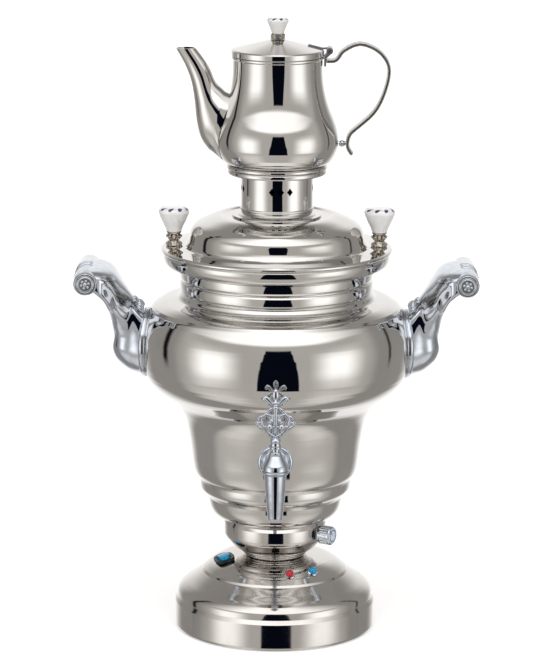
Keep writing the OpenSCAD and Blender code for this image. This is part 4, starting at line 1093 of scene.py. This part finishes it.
def spun(outline: Line, steps: int = ROUND_STEPS, centre: Point = (0.0, 0.0),
         mesh: Mesh | None = None) -> Mesh:
    """Spins an outline round an upright axis, with a UV map of turns and millimetres.

    Args:
        outline: points of (radius, height). It is closed if it ends where it starts.
        steps: how many faces go round.
        centre: where the axis stands.
        mesh: geometry to add to, or None for a new mesh.

    Returns:
        The mesh.
    """
    mesh = mesh or bmesh.new()
    uv = mesh.loops.layers.uv.verify()
    closed = math.dist(outline[0], outline[-1]) < SAME_PLACE
    rings = []
    for radius, height in outline[:-1] if closed else outline:
        if radius < CUT_SLACK:
            rings.append([mesh.verts.new((*centre, height))] * steps)
            continue
        rings.append([mesh.verts.new((centre[0] + radius * c, centre[1] + radius * s, height))
                      for c, s in around(steps)])
    way = [0.0, *accumulate(math.dist(first, second) / MM for first, second in zip(outline, outline[1:]))]
    for j in range(len(rings) if closed else len(rings) - 1):
        low, high = rings[j], rings[(j + 1) % len(rings)]
        for k in range(steps):
            after = (k + 1) % steps
            corners = {low[k]: (k, j), low[after]: (k + 1, j),
                       high[after]: (k + 1, j + 1), high[k]: (k, j + 1)}
            if len(corners) < 3:
                continue
            face = mesh.faces.new(list(corners))
            for loop, (turn, row) in zip(face.loops, corners.values()):
                loop[uv].uv = (turn / steps, way[row])
    return mesh


def ball(mesh: Mesh, centre: Vector, radius: float, stretch: Sequence[float] = (1, 1, 1),
         turn: Matrix = Matrix()) -> None:
    """Adds a ball, or an oval bead, to a mesh.

    Args:
        mesh: geometry to add to.
        centre: its middle.
        radius: its radius before it is stretched.
        stretch: how much longer it is along each of its own axes.
        turn: how its own axes are turned.
    """
    shape = Matrix.Translation(centre) @ turn @ Matrix.Diagonal((*stretch, 1))
    turns, rows = BALL_STEPS
    bmesh.ops.create_uvsphere(mesh, u_segments=turns, v_segments=rows, radius=radius, matrix=shape)


def skin(mesh: Mesh, rings: Sequence[Sequence[Vector]], closed: bool = False) -> None:
    """Adds a surface over rings of equally many points, with flat ends if it isn't closed.

    Args:
        mesh: geometry to add to.
        rings: the rings, in order.
        closed: whether the last ring joins the first.
    """
    verts = [[mesh.verts.new(spot) for spot in ring] for ring in rings]
    sides = len(verts[0])
    for k in range(len(verts) if closed else len(verts) - 1):
        low, high = verts[k], verts[(k + 1) % len(verts)]
        for j in range(sides):
            mesh.faces.new((low[j], low[(j + 1) % sides], high[(j + 1) % sides], high[j]))
    if not closed:
        mesh.faces.new(verts[0][::-1])
        mesh.faces.new(verts[-1])


def wire(mesh: Mesh, path: Sequence[Vector], radii: float | Sequence[float], closed: bool = False) -> None:
    """Adds a round wire along a path.

    Args:
        mesh: geometry to add to.
        path: the wire's centre line.
        radii: its radius, or one for each point.
        closed: whether the wire joins its own start.
    """
    count = len(path)
    side = None
    rings = []
    for k, here in enumerate(path):
        after = path[(k + 1) % count] if closed or k < count - 1 else here
        before = path[k - 1] if closed or k else here
        along = (after - before).normalized()
        side = side or along.orthogonal()
        side = (side - along * side.dot(along)).normalized()
        up = along.cross(side)
        radius = radii[k] if isinstance(radii, Sequence) else radii
        rings.append([here + (side * c + up * s) * radius for c, s in around(WIRE_SIDES)])
    skin(mesh, rings, closed)


# --- Sub-assemblies -------------------------------------------------------


def turned_piece(name: str, node: str, finish: Finish, body: Body, heading: float = 45.0) -> None:
    """Makes a fine turned piece from a node's own outline, in place of the node.

    Args:
        name: the piece's name.
        node: the node that it stands for.
        finish: its finish.
        body: the body that it rides on.
        heading: where the node's outline is read, in degrees from +X.
    """
    new_piece(name, spun(eased(node_outline(node, heading))), finish, body, node)


def porcelain_knobs(name: str, node: str, centres: Line, finish: Finish, body: Body) -> None:
    """Makes painted porcelain knobs from a node's own outline, in place of the node.

    Args:
        name: the piece's name.
        node: the node that it stands for.
        centres: where the knobs' axes stand.
        finish: the painted glaze.
        body: the body that they ride on.
    """
    mesh = bmesh.new()
    for x, y in centres:
        outline = node_outline(node, math.degrees(math.atan2(y, x)), (x, y))
        if outline[0][1] < outline[-1][1]:
            outline.reverse()
        spun(eased(outline, BROAD_EDGES), KNOB_STEPS, (x, y), mesh)
    new_piece(name, mesh, finish, body, node)


@dataclass(frozen=True)
class Claws:
    """Cast scroll legs with ball feet and a collar, which clasp a knob's post.

    Widths are shares of the reach and heights are shares of the height: the leg is points of
    (width, height), and a bead or the collar is (width, height, its wire's or its own radius).
    The leg's wire is its radius and how far that swells, in so many waves. The first leg
    stands at a share of the angle between two legs, from +X.
    """

    foot: float
    height: float
    reach: float
    legs: int = 5
    first_leg: float = 0.25
    leg: Line = ((0.94, 0.0), (0.98, 0.16), (0.6, 0.34), (0.74, 0.52), (0.98, 0.66), (0.8, 0.84),
                 (0.66, 0.98))
    leg_wire: Point = (0.17, 0.05)
    leg_waves: int = 2
    foot_bead: Sequence[float] = (0.96, 0.22, 0.27)
    knee_bead: Sequence[float] = (0.98, 0.66, 0.25)
    collar: Sequence[float] = (0.84, 0.97, 0.16)

    def build(self, name: str, centres: Line, body: Body) -> None:
        """Makes the legs round each post.

        Args:
            name: the piece's name.
            centres: where the posts' axes stand.
            body: the body that they ride on.
        """
        mesh = bmesh.new()
        mean, swell = self.leg_wire
        # A foot's bead rests on the lid, so its height too is a share of the reach
        beads = ((self.foot_bead, self.reach), (self.knee_bead, self.height))
        for x, y in centres:
            axis = Vector((x, y, self.foot))
            for c, s in around(self.legs, self.first_leg):
                out = Vector((c, s, 0)) * self.reach
                path = bent([axis + out * wide + UP * self.height * high for wide, high in self.leg], 4)
                turns = [math.tau * self.leg_waves * k / len(path) for k in range(len(path))]
                wire(mesh, path, [self.reach * (mean + swell * math.cos(turn)) for turn in turns])
                for (wide, high, size), whole in beads:
                    ball(mesh, axis + out * wide + UP * whole * high, self.reach * size)
            wide, high, size = self.collar
            ring = circle_path(axis + UP * self.height * high, UP, self.reach * wide)
            wire(mesh, ring, self.reach * size, closed=True)
        new_piece(name, mesh, NICKEL_CASTING, body)


@dataclass
class Base:
    """Foot, domed base shell and what is let into it. Headings are degrees from +X."""

    heading: float = -135.0
    dial_heading: float = -30.0
    dial_front: float = 0.05405
    dial_height: float = 0.0827
    dial_outline_mm: Line = ((0, 0.95), (4.8, 0.86), (5.9, 0.76), (6.3, 0.6), (6.3, 0), (0, 0))
    skirt_radius: float = 0.0825
    skirt_sheet: float = 0.0012
    skirt_plumb: Point = (0.004, 0.0238)
    skirt_reach: float = 0.0005
    swell_foot: float = 0.0135
    swell_height: float = 0.0105
    swell: float = 0.0007

    def plumb(self, point: Point) -> Point:
        """Sets a point of the skirt's wall plumb, below the rolled shoulder.

        Args:
            point: radius and height.

        Returns:
            The same point, or the point on the plumb wall beside it.
        """
        radius, height = point
        low, high = self.skirt_plumb
        bulge = max(0.0, self.swell * math.sin(math.pi * (height - self.swell_foot) / self.swell_height))
        for wall in (self.skirt_radius, self.skirt_radius - self.skirt_sheet):
            if low < height < high and abs(radius - bulge - wall) < self.skirt_reach:
                return wall, height
        return point

    def dial(self) -> None:
        """Makes the printed cap in the thermostat knob's face."""
        disc = spun([(radius * MM, height * MM) for radius, height in self.dial_outline_mm], HUB_STEPS)
        place = (Matrix.Rotation(math.radians(self.dial_heading), 4, "Z")
                 @ Matrix.Translation((self.dial_front, 0, self.dial_height))
                 @ Matrix.Rotation(math.pi / 2, 4, "Y"))
        bmesh.ops.transform(disc, verts=disc.verts, matrix=place)
        new_piece("dial_face", disc, DIAL_FACE, Body.DIAL)

    def build(self) -> None:
        """Makes the shells and dresses what stands on them."""
        turned_piece("round_foot", "foot_ring", MIRROR_STEEL, Body.URN)
        outline = [self.plumb(point) for point in node_outline("base_shell", self.heading)]
        new_piece("base_dome", spun(eased(outline)), HANDLED_STEEL, Body.URN, "base_shell")
        turned_piece("ribbed_stem", "stem", HANDLED_STEEL, Body.URN)
        turned_piece("drum_shell", "drum", HANDLED_STEEL, Body.URN, self.heading)
        smooth_nodes(PRESSED_STEEL, "base_plate", "thermostat")
        smooth_nodes(ZINC_PLATE, "plate_screws", "tie_rod", "tie_nuts", "thermostat_nut")
        smooth_nodes(BLACK_MOULDING, "cord_gland", "switch_bezel")
        smooth_nodes(STEATITE, "terminal_block")
        smooth_nodes(RED_ACRYLIC, "lamp_red")
        smooth_nodes(BLUE_ACRYLIC, "lamp_blue", "switch_rocker")
        smooth_nodes(BRIGHT_CHROME, "lamp_bezels")
        smooth_nodes(TURNED_BRASS, "thermostat_spindle")
        smooth_nodes(DIAL_PLATE, "thermostat_knob")
        self.dial()


# The shells of the urn's belly, welded edge to edge, and a heading that is clear of its holes
BELLY_SHELLS = ("tank_funnel", "tank_lower", "tank_upper")
URN_HEADING = 135.0


@dataclass
class Tank:
    """The urn's wall in welded shells, with its floor and heater."""

    heading: float = URN_HEADING

    def build(self) -> None:
        """Makes the shells and dresses the inside."""
        for node in ("tank_cup", "tank_neck"):
            turned_piece(node + "_shell", node, MIRROR_STEEL, Body.URN, self.heading)
        belly = spun(eased(joined_outline(BELLY_SHELLS, self.heading)))
        new_piece("tank_belly_shell", belly, MIRROR_STEEL, Body.URN, *BELLY_SHELLS)
        smooth_nodes(SPUN_STEEL, "tank_floor")
        smooth_nodes(SILICONE, "floor_seal")
        smooth_nodes(HOT_SHEATH, "heating_element")
        smooth_nodes(ZINC_PLATE, "element_nuts")
        smooth_nodes(PRESSED_STEEL, "dry_boil_cutout")


@dataclass
class Tap:
    """The plug tap on the tank's front. Sizes are in millimetres, from the tap's upright axis.

    The wire of the key's frame and of its petals is a radius and how far that swells. A boss
    is its distance from the axis, how far it stands proud, and its radius.
    """

    axis: Point = (0.0, -122.0)
    frame_middle: float = 201.6
    frame_half: Point = (14.8, 12.2)
    frame_bars: Sequence[float] = (188.5, 200, 214)
    frame_points: int = 96
    frame_wire: Point = (1.25, 0.2)
    bead_points: int = 6
    bar_radius: float = 1.3
    lobes: int = 4
    notch: float = 0.12
    cross_drop: float = 3.2
    finial: float = 220.0
    hub: Line = ((3.05, 180.3), (4.5, 180.4), (4.7, 181.4), (3.9, 182.6), (3.6, 185.6), (4.2, 186.8),
                 (4.1, 187.9), (2.7, 188.7), (1.6, 190.6), (0, 190.6), (0, 187), (3.05, 187),
                 (3.05, 180.3))
    scroll: Line = ((0.8, -11.4), (5.5, -8.4), (9.8, -3.4), (10.6, 2.2), (7.4, 6.4), (3.6, 4.9), (3.2, 1.6))
    scroll_radius: float = 1.1
    scroll_proud: float = 0.4
    scroll_tip: float = 1.7
    boss: Sequence[float] = (4.7, 0.6, 2.5)
    tie_ends: Point = (10.0, 14.6)
    tie_radius: float = 0.9
    petal: Line = ((0, -3.6), (3.0, -2.8), (5.8, 0.2), (8.2, 1.9), (9.2, 0.2))
    petal_wire: Point = (1.2, 0.7)
    petal_tip: float = 1.6
    bands: Sequence[tuple[float, Sequence[float]]] = (
        (-6.2, (2.9, 2.2, 1.3)), (-4.6, (1.9, 1.9, 1.8)), (-2.4, (3.9, 2.0, 1.2)), (3.6, (2.5, 1.7, 5.2)))

    def build(self) -> None:
        """Dresses the tap's parts and makes its pierced key."""
        smooth_nodes(BRIGHT_CHROME, "tap_rosette", "tap_body", "tap_nut", "tap_bonnet", soften_mm=0.3)
        smooth_nodes(BRIGHT_CHROME, "tap_plug")
        smooth_nodes(SILICONE, "tap_seal")
        mesh = bmesh.new()
        self.pierced_frame(mesh)
        self.lily(mesh)
        bmesh.ops.scale(mesh, verts=mesh.verts, vec=(MM, MM, MM))
        hub = [(radius * MM, height * MM) for radius, height in self.hub]
        spun(hub, HUB_STEPS, (self.axis[0] * MM, self.axis[1] * MM), mesh)
        new_piece("tap_key_filigree", mesh, BRIGHT_CHROME, Body.TAP_VALVE, "tap_key")

    def at(self, across: float, height: float, proud: float = 0.0) -> Vector:
        """Gives a point in the key's plane, or proud of it towards the front."""
        return Vector((self.axis[0] + across, self.axis[1] - proud, height))

    def pierced_frame(self, mesh: Mesh) -> None:
        """Adds the beaded quatrefoil frame with the scrolls and bosses inside it.

        Args:
            mesh: geometry to add to.
        """
        middle, level = self.frame_middle, self.frame_middle - self.cross_drop
        wide, tall = self.frame_half
        mean, swell = self.frame_wire
        quatrefoil, radii = [], []
        for k, (c, s) in enumerate(around(self.frame_points)):
            lobe = 1 - self.notch + self.notch * math.cos(math.tau * self.lobes * k / self.frame_points)
            quatrefoil.append(self.at(wide * lobe * c, middle + tall * lobe * s))
            radii.append(mean + swell * math.cos(math.tau * k / self.bead_points))
        wire(mesh, quatrefoil, radii, closed=True)
        wire(mesh, [self.at(0, height) for height in (*self.frame_bars, self.finial)], self.bar_radius)
        aside, proud, size = self.boss
        near, far = self.tie_ends
        for side in (-1, 1):
            path = bent([(side * x, z) for x, z in self.scroll])
            curl = [self.at(spot.x, middle + spot.y, self.scroll_proud) for spot in path]
            wire(mesh, curl, self.scroll_radius)
            ball(mesh, self.at(side * aside, level, proud), size)
            ball(mesh, curl[-1], self.scroll_tip)
            wire(mesh, [self.at(0, level), self.at(side * near, level)], self.tie_radius)
            wire(mesh, [self.at(side * near, middle), self.at(side * far, middle)], self.tie_radius)

    def lily(self, mesh: Mesh) -> None:
        """Adds the finial: three petals over a band, on a beaded neck.

        Args:
            mesh: geometry to add to.
        """
        for rise, shape in self.bands:
            ball(mesh, self.at(0, self.finial + rise), 1.0, shape)
        mean, swell = self.petal_wire
        for side in (-1, 1):
            path = bent([(side * x, z) for x, z in self.petal])
            leaf = [self.at(spot.x, self.finial + spot.y) for spot in path]
            wire(mesh, leaf, [mean + swell * math.sin(math.pi * k / len(leaf)) for k in range(len(leaf))])
            ball(mesh, leaf[-1], self.petal_tip)


@dataclass
class CarryingHandles:
    """The two cast handles with their screws. Sizes are in millimetres.

    The arm's lines are points of (distance from the urn's axis, height), from the flange up
    to the grip. The widths are half widths at a distance and at a height, and the blend is
    how tightly the section keeps to the smaller one. The section is blunter at the grip than
    at the flange, and squaring is how late it gets so. The pod is the bulb under the arm, and
    the hollow is the dip along its sides: how deep it is, and where on the arm and on its
    section it lies, each with its spread. The flange's rim band is where its crest lies and
    how far it spreads, as shares of the flange. The roll's edge is points of (depth under the
    roll's side, depth under its end). A leaf row is where its middle stands, how many lobes it
    has, its half width and a lobe's radius.
    """

    grip: Point = (154.2, 294.8)
    grip_radius: float = 9.5
    grip_half: float = 40.0
    top_line: Line = ((106.3, 265.8), (112.3, 272.3), (118.8, 280.3), (124.8, 289.3), (130.8, 298.4),
                      (136.2, 302.5), (144.2, 303.9), (154.2, 304.1))
    under_line: Line = ((107.3, 213.0), (114.3, 214.0), (121.3, 216.8), (129.3, 223.8), (132.7, 229.8),
                        (133.7, 235.8), (132.6, 243.3), (134.4, 254.8), (136.8, 266.8), (139.4, 274.8),
                        (143.4, 280.3), (148.6, 284.8), (154.2, 285.5))
    plan_widths: Line = ((96, 21), (112, 19), (121, 18), (131, 27), (140, 37), (146, 40), (164, 40))
    side_widths: Line = ((209, 10), (221, 20), (233, 22), (245, 18.5), (259, 21), (273, 32), (287, 40),
                         (306, 40))
    bluntness: Point = (2.6, 5.6)
    squaring: int = 4
    blend: int = 6
    hollow: float = 0.06
    hollow_along: Point = (0.7, 0.15)
    hollow_level: Point = (0.05, 0.42)
    pod_root: float = 104.0
    pod_top: float = 272.0
    pod_fade: float = 26.0
    pod_skin: float = 0.5
    flange_middle: float = 239.3
    flange_half: Point = (26.0, 29.0)
    flange_proud: float = 1.3
    flange_rim: float = 3.0
    flange_rim_band: Point = (0.9, 0.1)
    flange_boss: float = 1.6
    flange_boss_reach: float = 0.8
    flange_bed: float = 0.05
    flange_eye: float = 0.002
    flange_steps: tuple[int, int] = (48, 96)
    leaf_rows: Sequence[tuple[float, ...]] = ((110.5, 270.6, 5, 14.0, 2.2), (114.8, 275.2, 3, 7.0, 1.9))
    leaf_shape: Sequence[float] = (0.7, 1, 1.6)
    leaf_lean: float = 42.0
    leaf_fan: float = 0.6
    leaf_droop: float = 1.2
    roll_edge: Line = ((2.2, 0.0), (0.7, 0.5), (0.0, 1.9))
    roll_eye: float = 0.01
    roll_steps: int = 64
    cap: Line = ((6.9, -0.4), (6.9, 0.15), (5.0, 0.3), (2.0, 0.4), (0.05, 0.4))
    bead_rings: Sequence[float] = (-7, 0, 7)
    bead_radii: Point = (1.15, 1.4)
    bead_count: int = 24
    bead_sink: float = 0.4
    rosette_rim: Point = (7.0, 0.5)
    rosette_eye: float = 1.9
    rosette_petals: tuple[float, float, int] = (3.0, 1.2, 6)
    stations: int = 72
    sides: int = 72

    def build(self) -> None:
        """Makes each casting and dresses its fixings."""
        wall = joined_outline(BELLY_SHELLS, URN_HEADING)
        for side, node in ((-1, "handle_left"), (1, "handle_right")):
            mesh = bmesh.new()
            self.arm(mesh)
            self.flange(mesh, wall)
            self.roll(mesh)
            self.ornaments(mesh)
            bmesh.ops.scale(mesh, verts=mesh.verts, vec=(side * MM, MM, MM))
            new_piece("cast_" + node, mesh, BRIGHT_CHROME, Body.URN, node)
        self.caps()
        smooth_nodes(ZINC_PLATE, "handle_screws")
        smooth_nodes(SILICONE, "handle_washers")

    def caps(self) -> None:
        """Makes the satin discs in the ends of both grips."""
        mesh = bmesh.new()
        for side, end in ((-1, -1), (-1, 1), (1, -1), (1, 1)):
            face = Vector((side * self.grip[0], end * self.grip_half, self.grip[1]))
            skin(mesh, [circle_path(face + ACROSS * end * proud, ACROSS, radius)
                        for radius, proud in self.cap])
        bmesh.ops.scale(mesh, verts=mesh.verts, vec=(MM, MM, MM))
        new_piece("grip_end_caps", mesh, SATIN_NICKEL, Body.URN)

    def arm(self, mesh: Mesh) -> None:
        """Adds the arm: a broad hollow-sided ribbon above that closes into a bulb below.

        Args:
            mesh: geometry to add to.
        """
        lines = self.top_line, self.under_line, self.plan_widths, self.side_widths
        top, under, plan, side = map(bent, lines)
        outer = bent([(z, x) for x, z in self.under_line])
        oval, square = self.bluntness
        rings = []
        for share in (k / self.stations for k in range(self.stations + 1)):
            high, low = at_share(top, share), at_share(under, share)
            power = 2 / (oval + (square - oval) * share ** self.squaring)
            hollow = self.hollow * dip(share, *self.hollow_along)
            ring = []
            for c, s in around(self.sides):
                level, across = (math.copysign(abs(part) ** power, part) for part in (s, c))
                spot = low.lerp(high, 0.5 + 0.5 * level)
                x, z = spot.x, spot.y
                out = (x - self.pod_root) / (between(outer, z) + self.pod_skin - self.pod_root)
                closing = 1 - math.sqrt(1 - min(max(out, 0.0), 1.0) ** 2)
                closing *= min(max((self.pod_top - z) / self.pod_fade, 0.0), 1.0)
                narrow = between(plan, x) ** -self.blend + between(side, z) ** -self.blend
                width = narrow ** (-1 / self.blend)
                width *= (1 - closing) * (1 - hollow * dip(level, *self.hollow_level))
                ring.append(Vector((x, width * across, z)))
            rings.append(ring)
        skin(mesh, rings)

    def flange(self, mesh: Mesh, wall: Line) -> None:
        """Adds the oval flange with its raised rim, bedded on the urn's wall.

        Args:
            mesh: geometry to add to.
            wall: the urn's outline, in metres.
        """
        count, points = self.flange_steps
        wide, tall = self.flange_half
        crest, spread = self.flange_rim_band
        rings = []
        for k in range(2 * count + 1):
            share = max(1 - abs(k / count - 1), self.flange_eye)
            proud = self.flange_bed
            if k > count:
                rim = max(1 - ((share - crest) / spread) ** 2, 0.0) ** 0.5
                boss = max(1 - share / self.flange_boss_reach, 0.0)
                proud = self.flange_proud + self.flange_rim * rim + self.flange_boss * boss
            ring = []
            for c, s in around(points):
                y, z = share * wide * c, self.flange_middle + share * tall * s
                ring.append(Vector((math.sqrt((reach_of(wall, z * MM) / MM + proud) ** 2 - y ** 2), y, z)))
            rings.append(ring)
        skin(mesh, rings)

    def roll(self, mesh: Mesh) -> None:
        """Adds the grip's roll with its eased ends.

        Args:
            mesh: geometry to add to.
        """
        (x, z), full, end = self.grip, self.grip_radius, self.grip_half
        path = bent([(self.roll_eye, end), *((full - under, end - back) for under, back in self.roll_edge)])
        path += [Vector((spot.x, -spot.y, 0)) for spot in path[::-1]]
        skin(mesh, [[Vector((x + spot.x * c, spot.y, z + spot.x * s)) for c, s in around(self.roll_steps)]
                    for spot in path])

    def ornaments(self, mesh: Mesh) -> None:
        """Adds the roll's beaded rings, its ends' rosettes and the leaf at the arm's root.

        Args:
            mesh: geometry to add to.
        """
        grip = Vector((self.grip[0], 0, self.grip[1]))
        for along in self.bead_rings:
            radius = self.grip_radius - self.bead_sink
            ring = circle_path(grip + ACROSS * along, ACROSS, radius, 2 * self.bead_count)
            wire(mesh, ring, list(self.bead_radii) * self.bead_count, closed=True)
        radius, size = self.rosette_rim
        out, petal, count = self.rosette_petals
        for end in (-1, 1):
            face = grip + ACROSS * end * self.grip_half
            wire(mesh, circle_path(face, ACROSS, radius), size, closed=True)
            ball(mesh, face, self.rosette_eye)
            for spot in circle_path(face, ACROSS, out, count):
                ball(mesh, spot, petal)
        lean = Matrix.Rotation(math.radians(self.leaf_lean), 4, "Y")
        for x, z, count, width, size in self.leaf_rows:
            for share in (k / (count - 1) * 2 - 1 for k in range(count)):
                turn = lean @ Matrix.Rotation(share * self.leaf_fan, 4, "Z")
                spot = Vector((x, width * share, z - self.leaf_droop * share ** 2))
                ball(mesh, spot, size, self.leaf_shape, turn)


@dataclass
class Lid:
    """The lift-off lid with its porcelain knobs."""

    knob_pitch: float = 0.0836
    claws: Claws = Claws(foot=0.3201, height=0.0113, reach=0.0056)

    def build(self) -> None:
        """Makes the shell, the painted knobs and the claws of their posts."""
        turned_piece("lid_dome", "lid_shell", MIRROR_STEEL, Body.LID)
        smooth_nodes(NICKEL_CASTING, "lid_posts", soften_mm=0.2)
        smooth_nodes(ZINC_PLATE, "lid_nuts")
        centres = ((-self.knob_pitch, 0.0), (self.knob_pitch, 0.0))
        porcelain_knobs("painted_lid_knobs", "lid_knobs", centres, GLAZE, Body.LID)
        self.claws.build("lid_post_claws", centres, Body.LID)


@dataclass
class SteamCrown:
    """The pierced tube and the ring that carries the teapot."""

    heading: float = 45.0

    def build(self) -> None:
        """Dresses the tube and makes the ring."""
        smooth_nodes(MIRROR_STEEL, "crown_tube")
        turned_piece("crown_plate", "crown_ring", MIRROR_STEEL, Body.CROWN, self.heading)


@dataclass
class Teapot:
    """The teapot with its hinged lid. The waist is points of (height over its foot, radius)."""

    heading: float = 90.0
    foot_height: float = 0.3844
    waist_mm: Line = ((18.4, 49.3), (24, 49.6), (30, 48.76), (36, 47.12), (42, 44.9), (48, 42.4), (54, 40.4),
                      (60, 38.83), (66, 37.63), (72, 36.83), (78, 36.42), (84, 36.3))
    waist_step: float = 0.0025
    claws: Claws = Claws(foot=0.4894, height=0.0044, reach=0.005)

    def shell(self) -> None:
        """Makes the body, its waist one long sweep."""
        outline = node_outline("pot_body", self.heading)
        waist = bent(self.waist_mm)
        drawn: list[Point] = []
        for radius, height in dense(outline, self.waist_step):
            level = (height - self.foot_height) / MM
            if waist[0].x < level < waist[-1].x:
                radius += between(waist, level) * MM - reach_of(outline, height)
            drawn.append((radius, height))
        new_piece("pot_shell", spun(eased(drawn)), MIRROR_STEEL, Body.TEAPOT, "pot_body")

    def build(self) -> None:
        """Makes the turned shells and dresses the rest."""
        self.shell()
        turned_piece("pot_foot_ring", "pot_foot", MIRROR_STEEL, Body.TEAPOT)
        turned_piece("pot_cover", "pot_lid", MIRROR_STEEL, Body.TEAPOT_LID, self.heading)
        tumbled_node(BRUSHED_STRIP, "pot_handle", grid_mm=0.4, passes=8)
        smooth_nodes(MIRROR_STEEL, "pot_spout")
        smooth_nodes(BRIGHT_CHROME, "pot_standoff", "pot_knob_post")
        smooth_nodes(SATIN_NICKEL, "pot_hinge", "lid_leaf")
        smooth_nodes(ZINC_PLATE, "hinge_pin")
        porcelain_knobs("painted_pot_knob", "pot_knob", [(0.0, 0.0)], SMALL_GLAZE, Body.TEAPOT_LID)
        self.claws.build("pot_post_claws", [(0.0, 0.0)], Body.TEAPOT_LID)


def main() -> None:
    """Builds the studio and every sub-assembly in order."""
    logging.basicConfig(level=logging.INFO, format="%(name)s: %(message)s")
    Studio().build()
    for part in (Base(), Tank(), Tap(), CarryingHandles(), Lid(), SteamCrown(), Teapot()):
        LOG.info("building %s", type(part).__name__)
        part.build()


if __name__ == "__main__":
    main()
